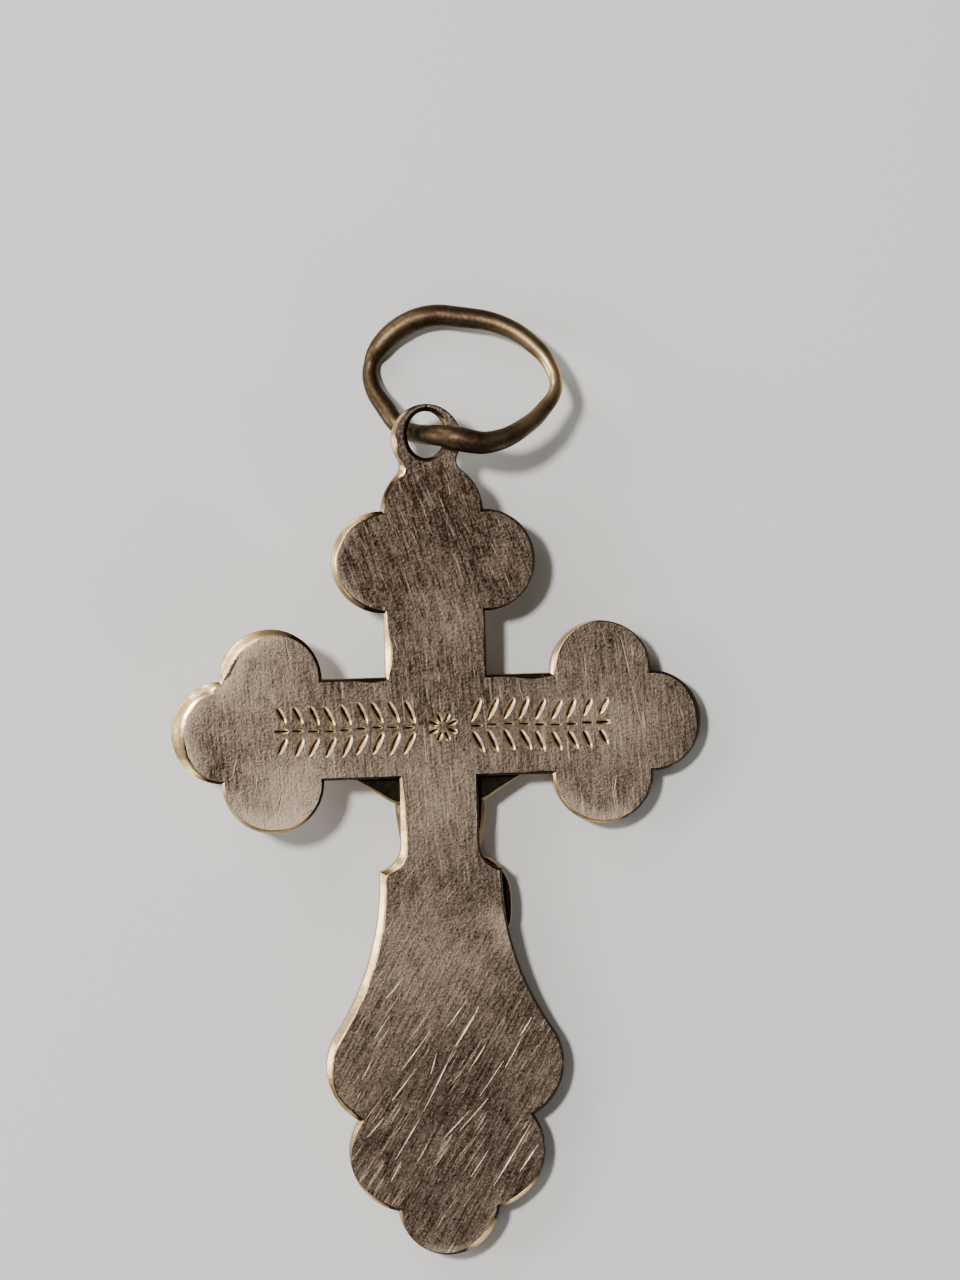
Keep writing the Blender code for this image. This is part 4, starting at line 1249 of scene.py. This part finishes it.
# %% Sizes of the figure and its places
FIGURE_HEIGHT = 16.4
FIGURE_CROWN = 1.10
CHEST_WIDTH = 3.50
RELIEF_HEIGHT = 1.10
RELIEF_BITE = 0.36
ARM_SPAN = 15.6
LIMB_WIDTH = 0.86
KNEE_LIFT = 0.22
ARCH_STEPS = 14
BROAD_STEPS = 24
HEAD_STEPS = 20
ROWS_BETWEEN = 4
ARCH_LEGS = [(-1.0, -0.70), (-0.86, -1.0), (0.86, -1.0), (1.0, -0.70)]


def body(drop, sway):
    """A place on the figure: a share of its height below the crown, and of its chest's width."""
    return sway * CHEST_WIDTH, FIGURE_CROWN - drop * FIGURE_HEIGHT


def eased(rows, between=ROWS_BETWEEN):
    """More rows between a table's own, along a smooth curve through them."""
    smooth = []
    for k in range(len(rows) - 1):
        four = [rows[min(max(k + step, 0), len(rows) - 1)] for step in (-1, 0, 1, 2)]
        for step in range(between):
            t = step / between
            smooth.append(tuple(
                0.5 * (2.0 * b + (c - a) * t + (2.0 * a - 5.0 * b + 4.0 * c - d) * t ** 2
                       + (3.0 * b - a - 3.0 * c + d) * t ** 3)
                for a, b, c, d in zip(*four)))
    return smooth + [rows[-1]]


def mass(name, rows, steps=ARCH_STEPS):
    """A cast mass along rows of x, y, width and relief: arches on straight legs in the plate."""
    angles = [math.pi * step / steps for step in range(steps + 1)]
    arch = [(math.cos(angle), math.sin(angle)) for angle in angles] + ARCH_LEGS
    rings = []
    for k, (x, y, width, relief) in enumerate(rows):
        before, after = rows[max(k - 1, 0)], rows[min(k + 1, len(rows) - 1)]
        run = Vector((after[0] - before[0], after[1] - before[1])).normalized()
        half_depth = (relief + RELIEF_BITE) / 2.0
        rings.append([(x - run.y * across * width / 2.0, y + run.x * across * width / 2.0,
                       -FIELD_DEPTH - relief + half_depth - up * half_depth) for across, up in arch])
    return ladder(name, rings)


def body_rows(table):
    """Rows of drop, sway, width and relief as shares, turned into millimetres."""
    return eased([(*body(drop, sway), width * CHEST_WIDTH, relief * RELIEF_HEIGHT)
                  for drop, sway, width, relief in table])


# %% The masses of the body
# Columns: drop, sway, width, relief
TORSO = (
    (0.125, 0.03, 0.34, 0.50), (0.160, 0.03, 0.72, 0.68), (0.190, 0.03, 0.98, 0.82),
    (0.225, 0.03, 1.04, 0.90), (0.265, 0.03, 1.04, 0.92), (0.300, 0.03, 1.01, 0.88),
    (0.345, 0.02, 0.94, 0.80), (0.385, 0.01, 0.86, 0.72), (0.430, 0.00, 0.86, 0.76),
    (0.480, 0.00, 0.90, 0.74),
)
NECK = (
    (0.085, 0.09, 0.34, 0.62), (0.140, 0.06, 0.34, 0.66), (0.190, 0.04, 0.44, 0.64),
)
LOINCLOTH = (
    (0.408, 0.00, 0.82, 0.60), (0.420, 0.01, 0.98, 0.82), (0.460, 0.02, 1.06, 0.90),
    (0.510, 0.01, 1.08, 0.84), (0.560, -0.01, 1.06, 0.74), (0.590, -0.02, 1.00, 0.66),
    (0.602, -0.02, 0.86, 0.48),
)
KNOT = (
    (0.405, 0.34, 0.18, 0.44), (0.413, 0.44, 0.28, 0.62), (0.432, 0.56, 0.30, 0.60),
    (0.460, 0.66, 0.27, 0.46), (0.505, 0.69, 0.26, 0.36), (0.552, 0.67, 0.26, 0.26),
    (0.578, 0.64, 0.16, 0.14),
)

# Columns: drop, sway, width, relief, share of the left knee's extra height
LEG = (
    (0.540, 0.235, 0.42, 0.66, 0.0), (0.600, 0.225, 0.43, 0.68, 0.6), (0.660, 0.200, 0.37, 0.68, 1.0),
    (0.710, 0.180, 0.34, 0.68, 1.0), (0.745, 0.175, 0.32, 0.60, 0.6), (0.790, 0.175, 0.34, 0.55, 0.2),
    (0.840, 0.155, 0.27, 0.48, 0.0), (0.885, 0.135, 0.20, 0.44, 0.0), (0.915, 0.135, 0.22, 0.50, 0.0),
    (0.950, 0.160, 0.27, 0.50, 0.0), (0.985, 0.190, 0.29, 0.40, 0.0), (1.005, 0.200, 0.20, 0.22, 0.0),
)

# Columns: share of the half span, drop, width, relief
ARM = (
    (0.130, 0.205, 2.00, 0.62), (0.200, 0.200, 2.10, 0.74), (0.280, 0.188, 1.66, 0.68),
    (0.370, 0.172, 1.30, 0.60), (0.470, 0.150, 1.08, 0.55), (0.560, 0.128, 0.94, 0.52),
    (0.660, 0.106, 0.92, 0.50), (0.770, 0.084, 0.74, 0.46), (0.860, 0.068, 0.56, 0.42),
    (0.905, 0.060, 0.82, 0.42), (0.955, 0.052, 0.92, 0.36), (0.990, 0.046, 0.78, 0.28),
    (1.005, 0.043, 0.44, 0.18),
)


def arm_point(side, reach, across=0.0):
    """A place along an arm; across is measured upwards, in millimetres."""
    drops = [(row[0], row[1]) for row in ARM]
    below, above = drops[0], drops[-1]
    for first, second in zip(drops, drops[1:]):
        if first[0] <= reach <= second[0]:
            below, above = first, second
    share = (reach - below[0]) / (above[0] - below[0])
    drop = below[1] + (above[1] - below[1]) * share
    return side * reach * ARM_SPAN / 2.0, FIGURE_CROWN - drop * FIGURE_HEIGHT + across


# Columns: share of the half span, how far above the arm, width, relief
THUMB = (
    (0.885, 0.20, 0.26, 0.36), (0.915, 0.42, 0.24, 0.36), (0.945, 0.56, 0.20, 0.32),
    (0.965, 0.62, 0.10, 0.22),
)

masses = [mass("torso", body_rows(TORSO), BROAD_STEPS), mass("neck", body_rows(NECK))]
masses += [mass("loincloth", body_rows(LOINCLOTH), BROAD_STEPS), mass("knot", body_rows(KNOT))]
for side in (-1, 1):
    lift = KNEE_LIFT / RELIEF_HEIGHT if side < 0 else 0.0
    masses.append(mass("leg", body_rows([(drop, side * sway, width, relief + lift * knee)
                                         for drop, sway, width, relief, knee in LEG])))
    masses.append(mass("arm", eased([
        (*arm_point(side, reach), width * LIMB_WIDTH, relief * RELIEF_HEIGHT)
        for reach, _, width, relief in ARM])))
    masses.append(mass("thumb", eased([(*arm_point(side, reach, across), width, relief)
                                       for reach, across, width, relief in THUMB])))
print("masses of the body:", len(masses))

# %% [markdown]
# ## One skin over the masses
#
# The masses still stand in one another like building blocks. A voxel remesh wraps them in one skin
# of even little squares, as wax over an armature, and a few rounds of smoothing melt the seams.

# %% Melt the masses into one skin
BODY_VOXEL = 0.05
BODY_ROUNDS = 3


def melt(pieces, name, voxel, rounds):
    """Join closed masses and remesh them into one even skin, then relax it a little."""
    piece = join(pieces, name)
    apply(piece, "REMESH", mode="VOXEL", voxel_size=voxel * MM)
    apply(piece, "SMOOTH", factor=0.5, iterations=rounds)
    bpy.ops.object.shade_smooth()
    return piece


figure = melt(masses, "figure", BODY_VOXEL, BODY_ROUNDS)
print("faces of the body:", len(figure.data.polygons))

# %% [markdown]
# ## Carving with strokes
#
# Sculpting needs a hand on a pen, but a stroke is only a line with a width and a depth. Each stroke
# here presses the skin in with a soft round profile, or raises it where the depth is negative. A
# bent stroke passes through three places, which are easy to choose.

# %% Strokes that carve
FAR = 1e9
SHORTEST_RUN = 1e-9
STEEPEST = 1.4
STROKE_REACH = 3.0


def bow(first, middle, last, steps=12):
    """Places along a bent stroke through three places."""
    a, b, c = Vector(first), Vector(middle), Vector(last)
    bend = 2.0 * b - (a + c) / 2.0
    shares = [k / steps for k in range(steps + 1)]
    return [tuple((1 - t) ** 2 * a + 2 * t * (1 - t) * bend + t ** 2 * c) for t in shares]


def carve(piece, strokes):
    """Press soft grooves into the front along strokes of places, width and depth in millimetres.

    A negative depth raises a ridge instead. The end of a stroke fades out by itself.
    """
    count = len(piece.data.vertices)
    places = np.empty(count * 3, np.float32)
    normals = np.empty(count * 3, np.float32)
    piece.data.vertices.foreach_get("co", places)
    piece.data.vertices.foreach_get("normal", normals)
    places = places.reshape(-1, 3) / MM
    facing = np.clip(-normals.reshape(-1, 3)[:, 2] * STEEPEST, 0.0, 1.0)
    pressed = np.zeros(count)
    for line, width, depth in strokes:
        line = np.array(line)
        near = np.full(count, FAR)
        reach = STROKE_REACH * width
        low, high = line.min(0) - reach, line.max(0) + reach
        inside = np.all((places[:, :2] > low) & (places[:, :2] < high), axis=1)
        spots = places[inside, :2]
        for start, end in zip(line, line[1:]):
            run = end - start
            share = np.clip(((spots - start) @ run) / max(run @ run, SHORTEST_RUN), 0.0, 1.0)
            gap = spots - (start + share[:, None] * run)
            near[inside] = np.minimum(near[inside], (gap ** 2).sum(1))
        pressed += depth * np.exp(-near / width ** 2)
    places[:, 2] += pressed * facing
    piece.data.vertices.foreach_set("co", (places * MM).ravel())
    depths = piece.data.attributes.new("pressed", "FLOAT", "POINT")
    depths.data.foreach_set("value", np.clip(pressed * facing, 0.0, 1.0).astype(np.float32))
    piece.data.update()


# %% [markdown]
# ## The body's strokes
#
# Collar bones, breast, ribs, belly and knees are each one pair of soft strokes. Strokes of the
# middle line follow, then the folds of the cloth, the fingers and the toes. They are shallow,
# because the casting lost its finest detail and cloth has rubbed it since.

# %% Strokes of the chest, the belly and the legs
# Columns: drop and sway at the start, the middle and the end, width, depth; sway is mirrored
PAIRED_STROKES = (
    (0.168, 0.08, 0.166, 0.26, 0.180, 0.46, 0.07, -0.05),
    (0.262, 0.04, 0.276, 0.22, 0.250, 0.44, 0.07, 0.07),
    (0.225, 0.20, 0.240, 0.24, 0.245, 0.30, 0.22, -0.05),
    (0.290, 0.14, 0.300, 0.28, 0.286, 0.44, 0.045, 0.05),
    (0.308, 0.17, 0.318, 0.30, 0.306, 0.44, 0.045, 0.05),
    (0.326, 0.21, 0.335, 0.31, 0.326, 0.42, 0.045, 0.045),
    (0.290, 0.05, 0.318, 0.12, 0.352, 0.28, 0.06, 0.06),
    (0.398, 0.22, 0.410, 0.18, 0.425, 0.10, 0.07, 0.05),
    (0.652, 0.10, 0.645, 0.20, 0.655, 0.29, 0.06, 0.04),
    (0.700, 0.13, 0.708, 0.18, 0.700, 0.24, 0.06, 0.04),
    (0.675, 0.18, 0.680, 0.185, 0.690, 0.18, 0.14, -0.04),
    (0.740, 0.17, 0.790, 0.165, 0.850, 0.15, 0.05, -0.03),
    (0.905, 0.06, 0.912, 0.13, 0.905, 0.21, 0.05, 0.03),
)
CENTRE_STROKES = (
    (0.180, 0.03, 0.225, 0.03, 0.275, 0.03, 0.07, 0.07),
    (0.300, 0.03, 0.345, 0.02, 0.400, 0.01, 0.05, 0.04),
    (0.384, 0.012, 0.385, 0.012, 0.386, 0.012, 0.08, 0.12),
)
strokes = []
for a, b, c, d, e, f, width, depth in PAIRED_STROKES:
    for side in (-1, 1):
        strokes.append((bow(body(a, side * b + 0.01), body(c, side * d + 0.01), body(e, side * f + 0.01)),
                        width, depth))
for a, b, c, d, e, f, width, depth in CENTRE_STROKES:
    strokes.append((bow(body(a, b), body(c, d), body(e, f)), width, depth))

print("strokes of the chest, the belly and the legs:", len(strokes))

# %% Folds of the cloth, from the left hip up to the knot on the right one
# Columns: drop at the left hip, at the middle and at the knot, width, depth
FOLDS = (
    (0.424, 0.446, 0.434, 0.060, 0.070), (0.443, 0.474, 0.441, 0.085, 0.095),
    (0.472, 0.497, 0.448, 0.050, 0.060), (0.490, 0.527, 0.454, 0.095, 0.105),
    (0.524, 0.548, 0.462, 0.050, 0.055), (0.549, 0.578, 0.470, 0.080, 0.090),
    (0.577, 0.592, 0.480, 0.050, 0.055),
)
for left, centre, knot, width, depth in FOLDS:
    line = bow(body(left, -0.52), body(centre, 0.04), body(knot, 0.50))
    strokes.append((line, width, depth))
    strokes.append(([(x, y + 2.2 * width) for x, y in line], 1.1 * width, -0.6 * depth))
strokes.append((bow(body(0.592, -0.50), body(0.603, 0.0), body(0.588, 0.46)), 0.05, -0.06))
for across in (-0.07, 0.0, 0.07):
    strokes.append(([body(drop, sway + across * (1.0 - 0.2 * k)) for k, (drop, sway, _, _) in
                     enumerate(KNOT[1:])], 0.045, 0.06))

# %% Fingers and toes, parted by short strokes, and nails' heads as round bumps
GAPS_OF_TOES = 4
FIRST_GAP = 0.115
GAP_STEP = 0.045

for side in (-1, 1):
    for across in (-0.19, 0.0, 0.19):
        strokes.append(([arm_point(side, 0.945, across), arm_point(side, 1.01, across * 0.8)], 0.045, 0.09))
    strokes.append(([arm_point(side, 0.855, -0.22), arm_point(side, 0.862, 0.22)], 0.06, 0.04))
    strokes.append(([arm_point(side, 0.925), arm_point(side, 0.926)], 0.12, -0.10))
    strokes.append(([arm_point(side, 0.50, 0.22), arm_point(side, 0.38, 0.26)], 0.16, -0.05))
    strokes.append(([arm_point(side, 0.565, 0.20), arm_point(side, 0.575, -0.20)], 0.07, 0.04))
    for gap in range(GAPS_OF_TOES):
        across = side * (FIRST_GAP + GAP_STEP * gap)
        strokes.append(([body(0.978, across), body(1.006, across + side * 0.012)], 0.035, 0.06))
    strokes.append(([body(0.948, side * 0.155), body(0.949, side * 0.155)], 0.10, -0.08))
carve(figure, strokes)
print("strokes on the body:", len(strokes))

# %% [markdown]
# ## The head
#
# The head leans to one side under long hair, in front of a plain round halo. Its own skin is finer
# than the body's, because the eye looks at a face first. The features stand where a drawing book
# puts them: eyes half way down, the nose's tip three quarters down, the mouth a little below.

# %% The masses of the head
# Columns: drop, sway, width, relief
HEAD = (
    (-0.004, 0.155, 0.24, 0.50), (0.006, 0.150, 0.44, 0.78), (0.028, 0.138, 0.57, 0.94),
    (0.055, 0.120, 0.60, 1.00), (0.085, 0.100, 0.56, 0.98), (0.112, 0.082, 0.48, 0.95),
    (0.135, 0.067, 0.36, 0.88), (0.148, 0.060, 0.20, 0.74),
)
CROWN_HAIR = (
    (-0.036, 0.172, 0.30, 0.60), (-0.030, 0.169, 0.52, 0.84), (-0.018, 0.163, 0.70, 0.98),
    (-0.004, 0.156, 0.79, 1.04), (0.008, 0.149, 0.81, 1.04), (0.018, 0.144, 0.76, 0.98),
    (0.026, 0.140, 0.60, 0.88),
)
BEARD = (
    (0.098, 0.091, 0.38, 0.92), (0.120, 0.077, 0.38, 1.01), (0.145, 0.062, 0.29, 0.97),
    (0.163, 0.051, 0.17, 0.86), (0.172, 0.046, 0.08, 0.74),
)

# Columns: drop, distance from the head's middle line, width, relief
HAIR = (
    (-0.014, 0.05, 0.12, 0.86), (-0.008, 0.14, 0.22, 0.96), (0.010, 0.23, 0.30, 1.00),
    (0.035, 0.285, 0.26, 0.94), (0.070, 0.300, 0.22, 0.88), (0.110, 0.290, 0.23, 0.84),
    (0.150, 0.280, 0.25, 0.80), (0.178, 0.30, 0.20, 0.76), (0.196, 0.32, 0.10, 0.68),
)
HEAD_VOXEL = 0.026
HEAD_ROUNDS = 6


def head_middle(drop):
    """How far the leaning head's middle line has swayed at a drop."""
    first, last = HEAD[0], HEAD[-1]
    return first[1] + (last[1] - first[1]) * (drop - first[0]) / (last[0] - first[0])


def hair_path(side, across):
    """Places down a lock, across being a share of its width from its middle."""
    rows = eased([(*body(drop, head_middle(drop) + side * away), width * CHEST_WIDTH)
                  for drop, away, width, _ in HAIR], 3)
    path = []
    for k, (x, y, width) in enumerate(rows):
        before, after = rows[max(k - 1, 0)], rows[min(k + 1, len(rows) - 1)]
        run = Vector((after[0] - before[0], after[1] - before[1])).normalized()
        path.append((x + side * run.y * -across * width, y + side * run.x * across * width))
    return path


masses = [mass("head", body_rows(HEAD), HEAD_STEPS), mass("beard", body_rows(BEARD)),
          mass("crown_hair", body_rows(CROWN_HAIR), HEAD_STEPS)]
for side in (-1, 1):
    masses.append(mass("hair", body_rows([(drop, head_middle(drop) + side * away, width, relief)
                                          for drop, away, width, relief in HAIR])))
head = melt(masses, "head", HEAD_VOXEL, HEAD_ROUNDS)
print("faces of the head:", len(head.data.polygons))

# %% [markdown]
# ## A calm, plain face
#
# The head is cast smaller than a grain of rice, so the face needs few strokes: sockets with their
# lids and brows, cheeks, a nose, a mouth and a beard's edge. They are set out in shares of the
# face's own length and leaning with it, so the drawing book's rules apply as they stand.

# %% Carve the face
CROWN = Vector(body(HEAD[0][0], HEAD[0][1]))
CHIN = Vector(body(HEAD[-1][0], HEAD[-1][1]))
DOWN = (CHIN - CROWN).normalized()
FACE_RIGHT = Vector((-DOWN.y, DOWN.x))


def on_face(across, down):
    """A place on the face: across in shares of its length, down from the crown to the chin."""
    length = (CHIN - CROWN).length
    return tuple(CROWN + DOWN * down * length + FACE_RIGHT * across * length)


# Columns: across and down at the start, the middle and the end, width, depth; across is mirrored
FACE_STROKES = (
    (0.07, 0.475, 0.15, 0.470, 0.24, 0.490, 0.110, 0.085),
    (0.10, 0.505, 0.155, 0.498, 0.21, 0.508, 0.070, -0.075),
    (0.08, 0.530, 0.155, 0.548, 0.23, 0.528, 0.034, 0.045),
    (0.05, 0.420, 0.15, 0.392, 0.26, 0.425, 0.050, -0.035),
    (0.18, 0.61, 0.19, 0.64, 0.175, 0.67, 0.150, -0.045),
    (0.045, 0.685, 0.05, 0.69, 0.052, 0.695, 0.050, -0.050),
    (0.07, 0.700, 0.11, 0.745, 0.16, 0.83, 0.040, 0.040),
    (0.01, 0.748, 0.08, 0.756, 0.15, 0.825, 0.045, -0.045),
    (0.02, 0.11, 0.22, 0.16, 0.32, 0.42, 0.085, -0.035),
)
# Columns: across and down at the start, the middle and the end, width, depth
MIDDLE_STROKES = (
    (0.0, 0.44, 0.0, 0.55, 0.0, 0.66, 0.055, -0.085),
    (0.0, 0.66, 0.0, 0.675, 0.0, 0.69, 0.075, -0.090),
    (-0.09, 0.802, 0.0, 0.795, 0.09, 0.802, 0.032, 0.055),
    (-0.05, 0.838, 0.0, 0.842, 0.05, 0.838, 0.040, -0.040),
    (0.0, -0.16, 0.0, 0.0, 0.0, 0.12, 0.045, 0.060),
)
strokes = []
for a, b, c, d, e, f, width, depth in FACE_STROKES:
    for side in (-1, 1):
        strokes.append((bow(on_face(side * a, b), on_face(side * c, d), on_face(side * e, f)),
                        width, depth))
for a, b, c, d, e, f, width, depth in MIDDLE_STROKES:
    strokes.append((bow(on_face(a, b), on_face(c, d), on_face(e, f)), width, depth))

print("strokes on the face:", len(strokes))

# %% Strands: four down each lock, four over the crown to each side, seven down the beard
for side in (-1, 1):
    for across in (-0.30, -0.10, 0.10, 0.30):
        strokes.append((hair_path(side, across)[4:], 0.034, 0.045))
    for down in (-0.12, -0.06, 0.00, 0.06):
        strokes.append((bow(on_face(side * 0.06, down), on_face(side * 0.20, down + 0.01),
                            on_face(side * 0.33, down + 0.14)), 0.034, 0.045))
BEARD_STRANDS = 7
for k in range(BEARD_STRANDS):
    spread = k / (BEARD_STRANDS - 1) - 0.5
    strokes.append((bow(on_face(spread * 0.42, 0.89), on_face(spread * 0.36, 1.00),
                        on_face(spread * 0.14, 1.12)), 0.032, 0.040))
carve(head, strokes)
print("strokes on the head:", len(strokes))

# %% [markdown]
# ## The halo and the foot rest
#
# The halo is a plain disc with a raised rim, turned as on a lathe: a ladder of circles along its
# profile. The foot rest is a small slanting bar, a box whose edges are beveled.

# %% The halo and the foot rest
HALO_RADIUS = 1.90
HALO_POINTS = 96
HALO_MIDDLE = (0.070, 0.110)
REST_LENGTH = 3.40
REST_WIDTH = 0.80
REST_HEIGHT = 0.34
REST_EDGE = 0.10
REST_EDGE_STEPS = 3
REST_SLANT = math.radians(17)
REST_DROP = 0.985

# Columns: radius less than the halo's, height above the field
HALO_PROFILE = (
    (0.00, -0.18), (0.00, 0.09), (0.02, 0.13), (0.06, 0.16), (0.16, 0.16), (0.20, 0.14), (0.22, 0.10),
    (0.26, 0.09),
)
halo_middle = complex(*body(*HALO_MIDDLE))
halo = ladder("halo", [oval(halo_middle, 2 * (HALO_RADIUS - less), 2 * (HALO_RADIUS - less),
                            -FIELD_DEPTH - height, HALO_POINTS) for less, height in HALO_PROFILE])

deselect()
along = Vector((math.cos(REST_SLANT), math.sin(REST_SLANT)))
middle = Vector((0.0, body(REST_DROP, 0.0)[1]))
rest_rings = []
for height in (-RELIEF_BITE / 2.0, REST_HEIGHT):
    corners = [middle + along * i * REST_LENGTH / 2.0 + Vector((-along.y, along.x)) * j * REST_WIDTH / 2.0
               for i, j in ((-1, -1), (1, -1), (1, 1), (-1, 1))]
    rest_rings.append([(corner.x, corner.y, -FIELD_DEPTH - height) for corner in corners])
foot_rest = ladder("foot_rest", rest_rings)
apply(foot_rest, "BEVEL", width=REST_EDGE * MM, segments=REST_EDGE_STEPS, limit_method="ANGLE")
print("faces of the halo and the foot rest:", len(halo.data.polygons), len(foot_rest.data.polygons))

# %% [markdown]
# ## The figure joins the cross
#
# The four pieces of the figure lie down with the cross and move with it. Faces that look back at
# the plate get the dark rear skin with its painted shade, all others the figure's gold.

# %% Lay the figure down with the cross
REAR_FACING = 0.80
PIECE_CREASE = math.radians(30)

for piece in (figure, head, halo, foot_rest):
    piece.data.materials.clear()
    piece.data.materials.append(figure_metal)
    piece.data.materials.append(rear_metal)
    for face in piece.data.polygons:
        face.material_index = 1 if face.normal.z > REAR_FACING else 0
    if piece in (halo, foot_rest):
        choose(piece)
        bpy.ops.object.shade_smooth_by_angle(angle=PIECE_CREASE)
    lay_down(piece)
    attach(piece, "root")
    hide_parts("cross")
print("lowest point of the figure in mm:", round(min(v.co.z for v in figure.data.vertices) / MM, 3))

# %% [markdown]
# ## The floor
#
# The pendant lies on a plain sheet of pale, matt paper, large enough to fill the picture from any
# side.

# %% Floor
FLOOR_SIZE = 0.6
PAPER = "#e4e2dc"

deselect()
bpy.ops.mesh.primitive_plane_add(size=FLOOR_SIZE, location=(0.0, 0.0, 0.0))
floor = bpy.context.object
floor.name = "floor"
paper = bpy.data.materials.new("pale_paper")
paper.use_nodes = True
paper_shader = paper.node_tree.nodes["Principled BSDF"]
paper_shader.inputs["Base Color"].default_value = linear(PAPER)
paper_shader.inputs["Roughness"].default_value = 0.85
floor.data.materials.append(paper)
print("floor in mm:", FLOOR_SIZE / MM)

# %% [markdown]
# ## The light
#
# A lamp up on the left throws the shadows down to the right. Metal shows what it mirrors, so low
# pale panels stand in for the bright sides of the room, and the worn edges mirror them. The rest of
# the room is dim.

# %% Light
ROOM_LIGHT = 0.11
ROOM_COLOUR = (1.0, 0.98, 0.95, 1.0)

# Columns: name, direction, distance, size, power
LIGHTS = (
    ("lamp", (-0.38, 0.25, 0.89), 0.40, 0.055, 1.7),
    ("left_panel", (-0.93, 0.06, 0.32), 0.45, 0.20, 1.05),
    ("low_left_panel", (-0.60, -0.65, 0.42), 0.45, 0.16, 0.30),
    ("upper_left_panel", (-0.55, 0.70, 0.40), 0.45, 0.14, 0.60),
    ("low_right_panel", (0.50, -0.75, 0.36), 0.45, 0.12, 0.30),
)

world = bpy.data.worlds.new("studio")
bpy.context.scene.world = world
world.use_nodes = True
world.node_tree.nodes["Background"].inputs["Color"].default_value = ROOM_COLOUR
world.node_tree.nodes["Background"].inputs["Strength"].default_value = ROOM_LIGHT
for name, direction, distance, size, power in LIGHTS:
    direction = Vector(direction).normalized()
    bpy.ops.object.light_add(type="AREA", location=direction * distance)
    light = bpy.context.object
    light.name = name
    light.data.shape = "DISK"
    light.data.size = size
    light.data.energy = power
    light.rotation_euler = direction.to_track_quat("Z", "Y").to_euler()
print("lights:", len(LIGHTS))

# %% [markdown]
# ## The camera
#
# The camera looks straight down, as the photograph does, and is turned by its small roll. Its place
# follows from where the middle of the crossing is seen in the photograph, and its lens from the
# real size of one pixel.

# %% Camera
PHOTO_HEIGHT = 1280
PHOTO_WIDTH = 960
PIXEL = 0.04
CROSSING_PIXEL = (438, 727)
ROLL = math.radians(1.5)
CAMERA_DISTANCE = 0.16
SENSOR = 24.0

right_of = (PHOTO_WIDTH / 2.0 - CROSSING_PIXEL[0]) * PIXEL * MM
above = (CROSSING_PIXEL[1] - PHOTO_HEIGHT / 2.0) * PIXEL * MM
offset = Matrix.Rotation(-ROLL, 2) @ Vector((right_of, above))
aim = laid(0.0, 0.0, 0.0)
bpy.ops.object.camera_add(location=(aim.x + offset.x, aim.y + offset.y, aim.z + CAMERA_DISTANCE))
camera = bpy.context.object
camera.rotation_euler = (0.0, 0.0, -ROLL)
camera.data.sensor_fit = "VERTICAL"
camera.data.sensor_height = SENSOR
camera.data.lens = SENSOR * CAMERA_DISTANCE / (PHOTO_HEIGHT * PIXEL * MM)
camera.data.clip_start = 0.01
bpy.context.scene.camera = camera
print("lens in mm:", round(camera.data.lens, 2))
